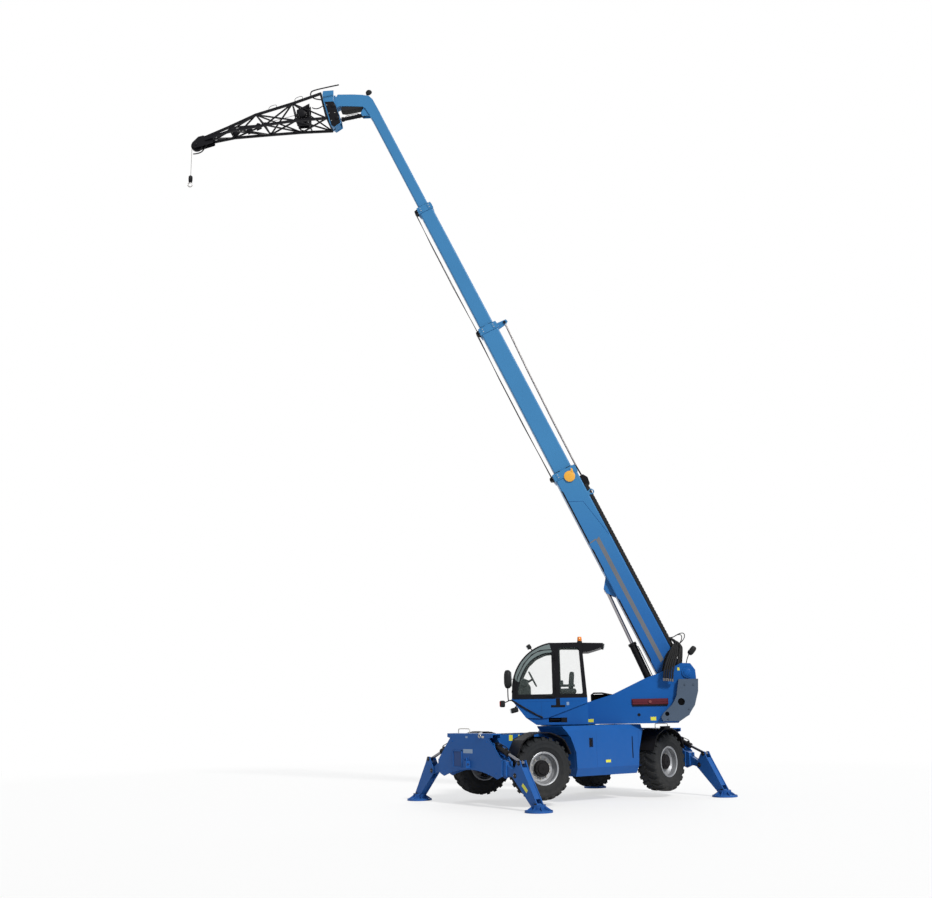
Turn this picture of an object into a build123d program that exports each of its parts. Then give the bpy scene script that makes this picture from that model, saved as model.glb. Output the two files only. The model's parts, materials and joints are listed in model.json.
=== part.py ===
"""Rotating telehandler with a four-section boom and a lattice jib, standing on its outriggers.

Millimetres and degrees. The machine is modelled in a few simple frames, each a Location:
CHASSIS  X forward, Y left, Z up from the ground, origin under the slew axis
TURRET   the same, turned about the slew axis
BOOM     X along the boom from its pivot pin, Z square to it
JIB      level like the turret, origin at the pin that tilts the jib
Each outrigger and each wheel is drawn once and stood at its corner.
"""

from build123d import *
import os
from math import atan2, cos, degrees, hypot, radians, sin, tan

os.makedirs("parts", exist_ok=True)

# Chassis and wheels
WHEELBASE = 3066
KINGPIN_Y = 800
WHEEL_OUT = 219
AXLE_Z = 684
STEER = 12
TYRE_R = 575
TYRE_W = 457
BEAD_R = 286
RIM_T = 14
HUB_R = 150
FRAME_W = 800
FRAME_WALL = 20
BELLY_Z = 540
DECK_Z = 1300
AXLE_TOP = 116
RING_R = 540
RING_BORE = 430
RING_Z = 1400
RING_T = 36

# Outriggers, drawn with X outward from the machine's centre line
PAD_OVERHANG = 837
PAD_X = WHEELBASE / 2 + PAD_OVERHANG
PAD_Y = 1950
PAD_R = 250
PAD_T = 22
FOOT_Z = 110
BEAM_W = 160
BEAM_H = 250
BEAM_WALL = 12
BEAM_SLOPE = 16
BEAM_IN = 450
BEAM_OUT = 1120
KNEE = (1380, 600)
LEVER = (1500, 825)
LEG_W = 150
LEG_WALL = 20
OUTRIGGER_PIN_R = 30
OUTRIGGER_BASE = (700, 1120)
OUTRIGGER_BARREL_R = 50
OUTRIGGER_BARREL_L = 430
OUTRIGGER_ROD_L = 500
OUTRIGGER_ROD_R = 28
PLATE_T = 20
SIDE_GAP = 8
SHEATH_OUT = 1040
PLATE_TOP = 1330
PLATE_TOP_Y = 745

# Turret
SLEW = -41
FLOOR_Z = 1452
FLOOR_T = 30
CHEEK_IN = 450
CHEEK_T = 30
PIVOT = (-2430, 2430)
PIVOT_R = 45
LIFT_BASE = (-1980, 1630)
LIFT_PIN_R = 40
WEIGHT_T = 120

# Boom
BOOM_ANGLE = 65
BOOM_DROP = 285
BOOM_TAIL = 250
# width, height, wall, end of the section from the pivot, length of the tube
SECTIONS = [
    (400, 500, 12, 4890, 5140),
    (330, 400, 11, 8620, 4730),
    (262, 320, 10, 11960, 4290),
    (196, 240, 9, 14880, 3820),
]
COLLAR_L = 160
COLLAR_T = 16
PAD_GAP = 0.8
LIFT_LUG = (2211, -640)
LIFT_BARREL_R = 75
LIFT_BARREL_L = 1547
LIFT_ROD_R = 38
LIFT_ROD_L = 1600

# Jib head
TILT_PIN = (15369, -1086)
TILT_BASE = (14847, -545)
TILT_ARM = 350
TILT_ARM_AT = 253.3
TILT_BARREL_R = 45
TILT_BARREL_L = 520
TILT_ROD_R = 25
TILT_ROD_L = 480
JIB_REACH = 3370
JIB_TIP_Z = -740
SHEAVE_R = 140
GROOVE_R = 110
ROPE_R = 6
HOOK_DROP = 780

# Cab
CAB_IN = 280
CAB_OUT = 1150
CAB_WALL = 50
SILL_Z = 1970
HINGE_X = 185
HINGE_OUT = 15
HINGE_R = 13
HINGE_PIN_R = 7
HINGE_Z = (2150, 2720)
DOOR_GAP = 5
DOOR_T = 40
GLASS_T = 6

# Running clearances
PIN_GAP = 0.1
SIDE_PLAY = 5
SEAT = 0.3

# ---------------------------------------------------------------- frames
boom_dir = (cos(radians(BOOM_ANGLE)), sin(radians(BOOM_ANGLE)))


def from_boom(point):
    """A point of the boom's frame in the turret's frame, both as (X, Z)."""
    u, w = point
    c, s = boom_dir
    return (PIVOT[0] + u * c - w * s, PIVOT[1] + u * s + w * c)


tilt_pin = from_boom(TILT_PIN)
tilt_base = from_boom(TILT_BASE)
lift_lug = from_boom(LIFT_LUG)
tip_reach = tilt_pin[0] + JIB_REACH + SHEAVE_R

# The row's origin is under the middle of the box around the whole machine
slew_x = (PAD_X + PAD_R - tip_reach * cos(radians(SLEW))) / 2
slew_y = -(PAD_Y + PAD_R + tip_reach * sin(radians(SLEW))) / 2
CHASSIS = Location((slew_x, slew_y, 0))
TURRET = CHASSIS * Location((0, 0, 0), (0, 0, SLEW))
BOOM = TURRET * Location((PIVOT[0], 0, PIVOT[1]), (0, -BOOM_ANGLE, 0))
JIB = TURRET * Location((tilt_pin[0], 0, tilt_pin[1]))

# corner name: (front or rear, left or right)
CORNERS = {
    "front_left": (1, 1),
    "front_right": (1, -1),
    "rear_left": (-1, 1),
    "rear_right": (-1, -1),
}


def between(start, end):
    """Frame at start with X towards end, both as (X, Z); and the distance."""
    run, rise = end[0] - start[0], end[1] - start[1]
    angle = degrees(atan2(rise, run))
    return Location((start[0], 0, start[1]), (0, -angle, 0)), hypot(run, rise)


def wheel_place(corner):
    """A wheel's frame: origin at the king pin, Y outward, turned by the steering at rest."""
    front, left = CORNERS[corner]
    turn = -front * STEER + (0 if left > 0 else 180)
    return CHASSIS * Location(
        (front * WHEELBASE / 2, left * KINGPIN_Y, AXLE_Z), (0, 0, turn)
    )


def outrigger_place(corner):
    """An outrigger's frame: origin on the ground at the centre line, X outward."""
    front, left = CORNERS[corner]
    return CHASSIS * Location((front * PAD_X, 0, 0), (0, 0, 90 * left))


# ---------------------------------------------------------------- shapes used often
def upright(points, y_far, radius=0):
    """A closed XZ outline, rounded, on the plane from which it is extruded towards -Y."""
    with BuildSketch(Plane.XZ.offset(-y_far)) as sketch:
        with BuildLine():
            if radius:
                FilletPolyline(*points, radius=radius, close=True)
            else:
                Polyline(*points, close=True)
        make_face()
    return sketch.sketch


def disc(centre, r, y_far):
    """A circle about an XZ centre, on the plane from which it is extruded towards -Y."""
    with BuildSketch(Plane.XZ.offset(-y_far)) as sketch:
        with Locations(centre):
            Circle(r)
    return sketch.sketch


def inset(sketch, wall):
    """An outline brought in by a wall's thickness."""
    return offset(sketch, amount=-wall, kind=Kind.INTERSECTION, mode=Mode.PRIVATE)


def mirrored(points):
    """An outline's half, closed by its mirror image in the vertical axis."""
    return list(points) + [(-x, z) for x, z in reversed(points) if x]


def write(piece, name, place):
    """Stands a finished piece in the machine, names it and writes it."""
    piece.part.location = place
    piece.part.label = name
    export_step(piece.part, f"parts/{name}.step")


# ---------------------------------------------------------------- chassis
beam_tan = tan(radians(BEAM_SLOPE))
beam_cos = cos(radians(BEAM_SLOPE))
beam_rise = BEAM_H / 2 / beam_cos


def beam_z(x):
    """Height of the beam's axis at a distance from the centre line."""
    return KNEE[1] + 32 + (KNEE[0] - x) * beam_tan


def strip(x0, x1, low, high):
    """Outline between two lines parallel to the beam's axis."""
    return [
        (x0, beam_z(x0) + low),
        (x1, beam_z(x1) + low),
        (x1, beam_z(x1) + high),
        (x0, beam_z(x0) + high),
    ]


RAIL_W = 46
end_in = PAD_X - BEAM_W / 2 - SIDE_GAP - PLATE_T
end_out = PAD_X + BEAM_W / 2 + SIDE_GAP + PLATE_T
arch_z = AXLE_Z + AXLE_TOP + 60
king_x = WHEELBASE / 2

with BuildPart() as chassis_frame:
    # Box between the end frames, raised over the axles
    spine = mirrored(
        [
            (0, BELLY_Z),
            (king_x - 480, BELLY_Z),
            (king_x - 330, arch_z),
            (king_x + 330, arch_z),
            (king_x + 520, 700),
            (end_in, 700),
            (end_in, DECK_Z),
            (0, DECK_Z),
        ]
    )
    extrude(upright(spine, FRAME_W / 2), amount=FRAME_W)
    inside = inset(upright(spine, FRAME_W / 2 - FRAME_WALL), FRAME_WALL)
    extrude(inside, amount=FRAME_W - 2 * FRAME_WALL, mode=Mode.SUBTRACT)
    # Slew pedestal
    with BuildSketch(Plane.XY.offset(DECK_Z)):
        Circle(RING_R + 90)
    with BuildSketch(Plane.XY.offset(RING_Z)):
        Circle(RING_R + 10)
    loft()
    with BuildSketch(Plane.XY.offset(RING_Z)):
        Circle(RING_BORE)
    extrude(amount=-60, mode=Mode.SUBTRACT)
    # End frames: two plates with the beams between them
    with BuildSketch(Plane.YZ) as end_plate:
        with BuildLine():
            Polyline(
                (880, 520),
                (SHEATH_OUT - 20, 570),
                (SHEATH_OUT, 850),
                (640, 1240),
                (PLATE_TOP_Y, 1260),
                (PLATE_TOP_Y, PLATE_TOP),
                (-PLATE_TOP_Y, PLATE_TOP),
                (-PLATE_TOP_Y, 1260),
                (-640, 1240),
                (-SHEATH_OUT, 850),
                (20 - SHEATH_OUT, 570),
                (-880, 520),
            )
            ThreePointArc((-880, 520), (0, 665), (880, 520))
        make_face()
    for front in (1, -1):
        for inner in (end_in, end_out - PLATE_T):
            face = end_plate.sketch.moved(Location((front * inner, 0, 0)))
            extrude(face, amount=front * PLATE_T)
        span = end_out - end_in
        middle = front * PAD_X
        with Locations((middle, 0, PLATE_TOP - PLATE_T / 2)):
            Box(span, 2 * PLATE_TOP_Y, PLATE_T)
        for left in (1, -1):
            turn = Location((middle, 0, 0), (0, 0, 90 * left))
            slide = beam_rise + SEAT / beam_cos
            guide = strip(300, SHEATH_OUT - 20, -slide - PLATE_T, -slide)
            extrude(upright(guide, span / 2).moved(turn), amount=span)
            # Rails above the beam, clear of the cylinder between them
            rail = strip(640, 880, slide, slide + PLATE_T)
            for far in (span / 2, RAIL_W - span / 2):
                extrude(upright(rail, far).moved(turn), amount=RAIL_W)
    # Towing eyes, below the deck at each end
    for front in (1, -1):
        with Locations((front * (end_out + 45), 0, 760)):
            Box(90, 40, 130)
        with Locations(Location((front * (end_out + 50), 0, 760), (90, 0, 0))):
            Cylinder(28, 60, mode=Mode.SUBTRACT)
write(chassis_frame, "chassis_frame", CHASSIS)

with BuildPart() as slew_ring:
    with BuildSketch(Plane.XY.offset(RING_Z)):
        Circle(RING_R)
        Circle(RING_BORE, mode=Mode.SUBTRACT)
    extrude(amount=RING_T)
write(slew_ring, "slew_ring", CHASSIS)

# Axles: a beam with a forked yoke round each steering knuckle
KNUCKLE_H = 330
YOKE_H = 400
YOKE_IN = 640
YOKE_OUT = 870
YOKE_T = 30
KINGPIN_R = 30
DIFF_R = 165
for end, front in (("front", 1), ("rear", -1)):
    with BuildPart() as axle:
        Box(180, 2 * YOKE_IN + 2, 2 * AXLE_TOP - 32)
        with Locations(Location((0, 0, 0), (90, 0, 0))):
            Cylinder(DIFF_R, 300)
        with Locations((0, 0, (arch_z - AXLE_Z) / 2)):
            Box(240, 320, arch_z - AXLE_Z)
        for left in (1, -1):
            with Locations((0, left * (YOKE_IN + 20), 0)):
                Box(150, 40, YOKE_H)
            for up in (1, -1):
                with Locations((0, left * (YOKE_IN + YOKE_OUT) / 2, up * (YOKE_H - YOKE_T) / 2)):
                    Box(130, YOKE_OUT - YOKE_IN, YOKE_T)
            with Locations((0, left * KINGPIN_Y, 0)):
                Cylinder(KINGPIN_R + PIN_GAP, YOKE_H, mode=Mode.SUBTRACT)
    write(axle, f"{end}_axle", CHASSIS * Location((front * king_x, 0, AXLE_Z)))

# Boxes on both sides between the wheels, their ends curved round the steered tyres
BOX_OUT = 1200
BOX_TOP = 1440
LOW_BOX_TOP = 1250
BOX_LOW = 500
BOX_CREASE = 640
BOX_WALL = 12
BOX_SKIN = 50
# Each corner lies a length inward of the front or the rear axle
box_outline = [
    (king_x - 733, BOX_LOW),
    (king_x - 718, 760),
    (king_x - 711, 950),
    (king_x - 588, 1230),
    (king_x - 428, 1400),
    (king_x - 408, BOX_TOP),
    (613 - king_x, BOX_TOP),
    (613 - king_x, 1300),
    (711 - king_x, 950),
    (733 - king_x, 760),
    (753 - king_x, BOX_LOW),
]
for side, left, box_top in (("left", 1, BOX_TOP), ("right", -1, LOW_BOX_TOP)):
    # The space inside stays below the deck, under the room for the ring
    ceiling = min(DECK_Z, box_top) - 20
    hollow_points = [(x, min(max(z, BOX_CREASE), ceiling)) for x, z in box_outline]
    hollow_outline = list(dict.fromkeys(hollow_points))
    with BuildPart() as box:
        extrude(upright(box_outline, BOX_OUT), amount=BOX_OUT - FRAME_W / 2 - SEAT)
        top = box.edges().filter_by(Axis.X).group_by(Axis.Z)[-1].sort_by(Axis.Y)[-1]
        chamfer(top, 40, 90)
        inside = inset(upright(hollow_outline, BOX_OUT - BOX_SKIN), BOX_WALL)
        width = BOX_OUT - FRAME_W / 2 - BOX_SKIN - BOX_WALL
        extrude(inside, amount=width, mode=Mode.SUBTRACT)
        # The right one, under the engine, is lower
        if left < 0:
            with Locations((0, BOX_OUT / 2, (box_top + 2 * BOX_TOP) / 2)):
                Box(3 * BOX_OUT, 2 * BOX_OUT, 2 * BOX_TOP - box_top, mode=Mode.SUBTRACT)
        # The lowest part leans inward below the crease
        with BuildSketch(Plane.YZ.offset(-king_x)):
            with BuildLine():
                Polyline(
                    (BOX_OUT, BOX_CREASE),
                    (BOX_OUT + 10, BOX_CREASE),
                    (BOX_OUT + 10, BOX_LOW - 10),
                    (BOX_OUT - 70, BOX_LOW - 10),
                    close=True,
                )
            make_face()
        extrude(amount=WHEELBASE, mode=Mode.SUBTRACT)
        # Room for the slew ring and the pedestal
        with Locations((0, 0, BOX_TOP)):
            Cylinder(RING_R + 110, 2 * (BOX_TOP - DECK_Z), mode=Mode.SUBTRACT)
        # Handle recess and the slot behind the door
        if left > 0:
            with Locations((440, BOX_OUT, 1120)):
                Box(70, 60, 170, mode=Mode.SUBTRACT)
            with Locations((893 - king_x, BOX_OUT, 1000)):
                Box(30, 40, 420, mode=Mode.SUBTRACT)
        else:
            mirror(about=Plane.XZ, mode=Mode.REPLACE)
    write(box, f"side_box_{side}", CHASSIS)

# ---------------------------------------------------------------- wheels
KNUCKLE_R = 75
SPINDLE_R = 90
SPINDLE_L = 170
SHAFT_R = 50
SHAFT_END = 250
GUARD_POINTS = [(560, 250), (430, 520), (150, 650)]
GUARD_T = 10
POST_Y = -58
GUARD_IN = -20
GUARD_OUT = 440
half = TYRE_W / 2

for corner in CORNERS:
    place = wheel_place(corner)
    with BuildPart() as knuckle:
        Cylinder(KNUCKLE_R, KNUCKLE_H)
        with Locations(Location((0, SPINDLE_L / 2, 0), (90, 0, 0))):
            Cylinder(SPINDLE_R, SPINDLE_L)
        with Locations(Location((0, SHAFT_END / 2, 0), (90, 0, 0))):
            Cylinder(SHAFT_R, SHAFT_END)
        Cylinder(KINGPIN_R, YOKE_H + 40)
        # Mudguard, bent from sheet, on a post that stands on the king pin's head
        outer = mirrored(GUARD_POINTS)
        inner = [(x * 0.985, z - GUARD_T - 2) for x, z in outer]
        extrude(upright(outer + inner[::-1], GUARD_OUT), amount=GUARD_OUT - GUARD_IN)
        foot = YOKE_H / 2 + SIDE_PLAY
        with Locations((0, -18, foot + 15)):
            Box(80, 120, 30)
        with Locations((0, POST_Y, (foot + GUARD_POINTS[-1][1]) / 2)):
            Box(60, 30, GUARD_POINTS[-1][1] - foot - 10)
        with Locations((0, POST_Y + 50, GUARD_POINTS[-1][1] - GUARD_T - 8)):
            Box(50, 120, 20)
    write(knuckle, f"steering_knuckle_{corner}", place)

    wheel_centre = Location((0, WHEEL_OUT, 0))
    with BuildPart() as tyre:
        with BuildSketch(Plane.XY):
            with BuildLine():
                Polyline(
                    (BEAD_R, -half + 60),
                    (BEAD_R, half - 60),
                    (BEAD_R + 60, half - 12),
                    (BEAD_R + 140, half),
                    (TYRE_R - 60, half - 8),
                    (TYRE_R - 8, half - 40),
                    (TYRE_R, 0),
                    (TYRE_R - 8, 40 - half),
                    (TYRE_R - 60, 8 - half),
                    (BEAD_R + 140, -half),
                    (BEAD_R + 60, 12 - half),
                    close=True,
                )
            make_face()
        revolve(axis=Axis.Y)
        # The air inside
        with BuildSketch(Plane.XY):
            with BuildLine():
                Polyline(
                    (BEAD_R + 30, 90 - half),
                    (BEAD_R + 30, half - 90),
                    (BEAD_R + 70, half - 45),
                    (TYRE_R - 75, half - 45),
                    (TYRE_R - 50, half - 75),
                    (TYRE_R - 50, 75 - half),
                    (TYRE_R - 75, 45 - half),
                    (BEAD_R + 70, 45 - half),
                    close=True,
                )
            make_face()
        revolve(axis=Axis.Y, mode=Mode.SUBTRACT)
    write(tyre, f"tyre_{corner}", place * wheel_centre)

    with BuildPart() as rim:
        bead = BEAD_R - SEAT
        with BuildSketch(Plane.XY):
            with BuildLine():
                Polyline(
                    (bead, 58 - half),
                    (bead, half - 58),
                    (bead + 10, half - 48),
                    (bead + 10, half - 36),
                    (bead - RIM_T, half - 36),
                    (bead - RIM_T, 90),
                    (bead - 50, 45),
                    (HUB_R, 30),
                    (HUB_R - 10, 110),
                    (60, 125),
                    (0, 125),
                    (0, SHAFT_END + SIDE_PLAY - WHEEL_OUT),
                    (SHAFT_R + PIN_GAP, SHAFT_END + SIDE_PLAY - WHEEL_OUT),
                    (SHAFT_R + PIN_GAP, SPINDLE_L + SIDE_PLAY - WHEEL_OUT),
                    (HUB_R - 10, SPINDLE_L + SIDE_PLAY - WHEEL_OUT),
                    (HUB_R, 10),
                    (bead - 50, 25),
                    (bead - RIM_T - 20, 0),
                    (bead - RIM_T, 36 - half),
                    (bead + 10, 36 - half),
                    (bead + 10, 48 - half),
                    close=True,
                )
            make_face()
        revolve(axis=Axis.Y)
    write(rim, f"rim_{corner}", place * wheel_centre)

# ---------------------------------------------------------------- outriggers
barrel_frame, barrel_reach = between(OUTRIGGER_BASE, LEVER)
FOOT = (PAD_Y, FOOT_Z)
NOSE_W = LEG_W - 2 * LEG_WALL - 2 * SIDE_PLAY
EYE_W = 60
EAR_T = 20
EYE_PIN_R = 25

for corner in CORNERS:
    place = outrigger_place(corner)
    with BuildPart() as beam:
        outline = strip(BEAM_IN, BEAM_OUT, -beam_rise, beam_rise)
        hollow = strip(BEAM_IN - 1, BEAM_OUT - 30, BEAM_WALL - beam_rise, beam_rise - BEAM_WALL)
        extrude(upright(outline, BEAM_W / 2), amount=BEAM_W)
        extrude(
            upright(hollow, BEAM_W / 2 - BEAM_WALL),
            amount=BEAM_W - 2 * BEAM_WALL,
            mode=Mode.SUBTRACT,
        )
        # Nose that carries the leg
        nose = [
            (BEAM_OUT - 40, beam_z(BEAM_OUT - 40) - 105),
            (KNEE[0] - 10, KNEE[1] - 58),
            (KNEE[0] - 10, KNEE[1] + 58),
            (BEAM_OUT - 40, beam_z(BEAM_OUT - 40) + 80),
        ]
        extrude(upright(nose, NOSE_W / 2), amount=NOSE_W)
        extrude(disc(KNEE, 60, NOSE_W / 2), amount=NOSE_W)
        extrude(
            disc(KNEE, OUTRIGGER_PIN_R + PIN_GAP, NOSE_W / 2), amount=NOSE_W, mode=Mode.SUBTRACT
        )
        # Ears for the cylinder, with their pin
        x, z = OUTRIGGER_BASE
        ear = [
            (x - 90, beam_z(x - 90) + beam_rise - 5),
            (x + 80, beam_z(x + 80) + beam_rise - 5),
            (x + 40, z + 20),
            (x, z + 45),
            (x - 40, z + 20),
        ]
        for side in (1, -1):
            far = side * (EYE_W / 2 + SIDE_PLAY + EAR_T / 2) + EAR_T / 2
            extrude(upright(ear, far), amount=EAR_T)
        width = EYE_W + 2 * SIDE_PLAY + 2 * EAR_T
        extrude(disc(OUTRIGGER_BASE, EYE_PIN_R, width / 2), amount=width)
    write(beam, f"outrigger_beam_{corner}", place)

    with BuildPart() as leg:
        # Side plates from the lever down to the foot
        cheek = [
            (KNEE[0] - 62, KNEE[1] - 50),
            (KNEE[0] - 30, KNEE[1] - 72),
            (FOOT[0] - 90, FOOT[1] - 42),
            (FOOT[0] + 30, FOOT[1] - 42),
            (FOOT[0] + 62, FOOT[1] + 10),
            (LEVER[0] + 90, LEVER[1] - 70),
            (LEVER[0] + 35, LEVER[1] + 45),
            (LEVER[0] - 35, LEVER[1] + 45),
            (KNEE[0] - 62, KNEE[1] + 50),
        ]
        for far in (LEG_W / 2, LEG_WALL - LEG_W / 2):
            extrude(upright(cheek, far, radius=18), amount=LEG_WALL)
        # Top and bottom plates that close the box below the knee
        box = [
            (KNEE[0] + 105, KNEE[1] - 160),
            (FOOT[0] - 140, FOOT[1] + 25),
            (FOOT[0] - 20, FOOT[1] + 115),
            (LEVER[0] + 80, LEVER[1] - 75),
            (LEVER[0] + 30, LEVER[1] - 130),
        ]
        extrude(upright(box, LEG_W / 2 - 1), amount=LEG_W - 2)
        width = LEG_W - 2
        extrude(disc(KNEE, OUTRIGGER_PIN_R, width / 2), amount=width)
        extrude(disc(FOOT, EYE_PIN_R, width / 2), amount=width)
        # Bosses on both sides of the rod's eye
        for side in (1, -1):
            boss = LEG_W / 2 - LEG_WALL - EYE_W / 2 - SIDE_PLAY
            far = EYE_W / 2 + SIDE_PLAY + boss if side > 0 else -EYE_W / 2 - SIDE_PLAY
            extrude(disc(LEVER, 30, far), amount=boss)
        # Foot: the pad under its lug, kept as a solid of its own
    with BuildPart() as pad:
        Cylinder(PAD_R, PAD_T, align=(Align.CENTER, Align.CENTER, Align.MIN))
        with Locations((0, 0, PAD_T)):
            Cone(PAD_R, 110, 36, align=(Align.CENTER, Align.CENTER, Align.MIN))
        with Locations((0, 0, FOOT_Z / 2 + 5)):
            Box(100, NOSE_W, FOOT_Z - 10)
        with Locations(Location((0, 0, FOOT_Z), (90, 0, 0))):
            Cylinder(42, NOSE_W)
            Cylinder(EYE_PIN_R + PIN_GAP, NOSE_W, mode=Mode.SUBTRACT)
    with BuildPart() as leg_and_pad:
        add(leg.part)
        add(pad.part.moved(Location((PAD_Y, 0, 0))))
    write(leg_and_pad, f"outrigger_leg_{corner}", place)

    with BuildPart() as barrel:
        with Locations(Location((0, 0, 0), (90, 0, 0))):
            Cylinder(42, EYE_W)
        with Locations(Location((0, 0, 0), (0, 90, 0))):
            Cylinder(
                OUTRIGGER_BARREL_R,
                OUTRIGGER_BARREL_L,
                align=(Align.CENTER, Align.CENTER, Align.MIN),
            )
        with Locations(Location((0, 0, 0), (90, 0, 0))):
            Cylinder(EYE_PIN_R + PIN_GAP, 3 * EYE_W, mode=Mode.SUBTRACT)
        # Shoulders cut back to the eye's width
        for side in (1, -1):
            with Locations((35, side * (EYE_W / 2 + 50), 0)):
                Box(170, 100, 120, mode=Mode.SUBTRACT)
        with BuildSketch(Plane.YZ.offset(90)):
            Circle(OUTRIGGER_ROD_R + PIN_GAP)
        extrude(amount=OUTRIGGER_BARREL_L - 90, mode=Mode.SUBTRACT)
    write(barrel, f"outrigger_barrel_{corner}", place * barrel_frame)

    with BuildPart() as rod:
        with BuildSketch(Plane.YZ.offset(barrel_reach - OUTRIGGER_ROD_L)):
            Circle(OUTRIGGER_ROD_R)
        extrude(amount=OUTRIGGER_ROD_L - 20)
        with Locations(Location((barrel_reach, 0, 0), (90, 0, 0))):
            Cylinder(40, EYE_W)
    write(rod, f"outrigger_rod_{corner}", place * barrel_frame)

# ---------------------------------------------------------------- turret
cheek = [
    (600, FLOOR_Z),
    (570, 1590),
    (360, 1600),
    (-350, 1860),
    (-920, 2025),
    (-1560, 2320),
    (-1870, 2430),
    (-2330, 2620),
    (-2500, 2610),
    (-2590, 2480),
    (-2605, 2200),
    (-2540, 1830),
    (-2420, 1600),
    (-2240, 1500),
    (-2200, FLOOR_Z),
]
CHEEK_OUT = CHEEK_IN + CHEEK_T
ENGINE_DECK = FLOOR_Z + 32
DECK_OUT = 1120

with BuildPart() as turret_frame:
    for far in (CHEEK_OUT, -CHEEK_IN):
        extrude(upright(cheek, far), amount=CHEEK_T)
    # Floor between the cheeks, with the ring that turns on the slewing ring
    with Locations((-800, 0, FLOOR_Z + FLOOR_T / 2)):
        Box(2800, 2 * CHEEK_OUT, FLOOR_T)
    with BuildSketch(Plane.XY.offset(RING_Z + RING_T + SEAT)):
        Circle(RING_R + 20)
        Circle(RING_BORE, mode=Mode.SUBTRACT)
    extrude(amount=FLOOR_Z - RING_Z - RING_T - SEAT + 1)
    with Locations((560, 0, FLOOR_Z + 60)):
        Box(40, 2 * CHEEK_IN + 2, 120)
    with Locations((-1450, 0, FLOOR_Z + 40)):
        Box(40, 2 * CHEEK_IN + 2, 80)
    # Tank under the cab, and the deck under the engine
    tank = [
        (-420, FLOOR_Z + 8),
        (590, FLOOR_Z + 12),
        (790, 1600),
        (480, 1585),
        (360, 1595),
        (-420, 1875),
    ]
    extrude(upright(tank, DECK_OUT), amount=DECK_OUT - CHEEK_OUT + 1)
    with Locations((225, DECK_OUT, 1550)):
        Box(250, 240, 90, mode=Mode.SUBTRACT)
    with Locations((-580, -(CHEEK_OUT + DECK_OUT) / 2, FLOOR_Z + 20)):
        Box(2360, DECK_OUT - CHEEK_OUT + 2, 2 * (ENGINE_DECK - FLOOR_Z - 20))
    # Boom pin and its bosses
    extrude(disc(PIVOT, PIVOT_R, CHEEK_OUT), amount=2 * CHEEK_OUT)
    for far in (CHEEK_OUT + 25, -CHEEK_OUT + 1):
        extrude(disc(PIVOT, 105, far), amount=26)
    # Lift cylinder's lugs and pin
    x, z = LIFT_BASE
    lug = [(x - 130, FLOOR_Z + 20), (x + 150, FLOOR_Z + 20), (x + 60, z + 30), (x - 60, z + 30)]
    lug_in = LIFT_BARREL_R + SIDE_PLAY
    for far in (lug_in + 30, -lug_in):
        extrude(upright(lug, far), amount=30)
        extrude(disc(LIFT_BASE, 75, far), amount=30)
    extrude(disc(LIFT_BASE, LIFT_PIN_R, lug_in + 30), amount=2 * lug_in + 60)
write(turret_frame, "turret_frame", TURRET)

weight = [
    (-2240, 2300),
    (-2625, 2300),
    (-2610, 2060),
    (-2530, 1790),
    (-2400, 1600),
    (-2230, 1490),
    (-1890, 1490),
    (-1860, 1570),
    (-1910, 1650),
    (-2090, 1810),
    (-2180, 1970),
]
with BuildPart() as counterweight:
    for far in (CHEEK_OUT + SEAT + WEIGHT_T, -CHEEK_OUT - SEAT):
        extrude(upright(weight, far), amount=WEIGHT_T)
        extrude(disc((-2270, 1860), 70, far), amount=WEIGHT_T, mode=Mode.SUBTRACT)
        extrude(disc(LIFT_BASE, 42, far), amount=WEIGHT_T, mode=Mode.SUBTRACT)
    block = [(-2180, 1490), (-2190, 1800), (-2500, 1800), (-2410, 1640), (-2250, 1520)]
    extrude(upright(block, CHEEK_IN - SEAT), amount=2 * (CHEEK_IN - SEAT))
write(counterweight, "counterweight", TURRET)

HOOD_FRONT = -490
HOOD_BACK = -1740
HOOD_IN = 500
hood_side = [
    (HOOD_BACK, ENGINE_DECK + SEAT),
    (HOOD_FRONT, ENGINE_DECK + SEAT),
    (HOOD_FRONT, 2040),
    (HOOD_FRONT - 60, 2085),
    (HOOD_FRONT - 240, 2085),
    (HOOD_BACK + 120, 1900),
    (HOOD_BACK, 1800),
]
hood_hollow = [
    (HOOD_BACK + 25, FLOOR_Z),
    (HOOD_FRONT - 25, FLOOR_Z),
    (HOOD_FRONT - 25, 2025),
    (HOOD_FRONT - 70, 2060),
    (HOOD_FRONT - 235, 2060),
    (HOOD_BACK + 135, 1878),
    (HOOD_BACK + 25, 1790),
]
with BuildPart() as engine_hood:
    extrude(upright(hood_side, -HOOD_IN), amount=DECK_OUT - HOOD_IN)
    edge = engine_hood.edges().filter_by(Axis.X).group_by(Axis.Z)[-1].sort_by(Axis.Y)[0]
    chamfer(edge, 60)
    extrude(
        upright(hood_hollow, 1 - HOOD_IN),
        amount=DECK_OUT - HOOD_IN - 24,
        mode=Mode.SUBTRACT,
    )
    for z in (1640, 1700, 1760):
        with Locations(((HOOD_FRONT + HOOD_BACK) / 2, -DECK_OUT, z)):
            Box(600, 120, 24, mode=Mode.SUBTRACT)
write(engine_hood, "engine_hood", TURRET)

with BuildPart() as engine:
    with Locations((-1080, -815, ENGINE_DECK + SEAT)):
        Box(950, 420, 380, align=(Align.CENTER, Align.CENTER, Align.MIN))
write(engine, "engine", TURRET)

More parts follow.
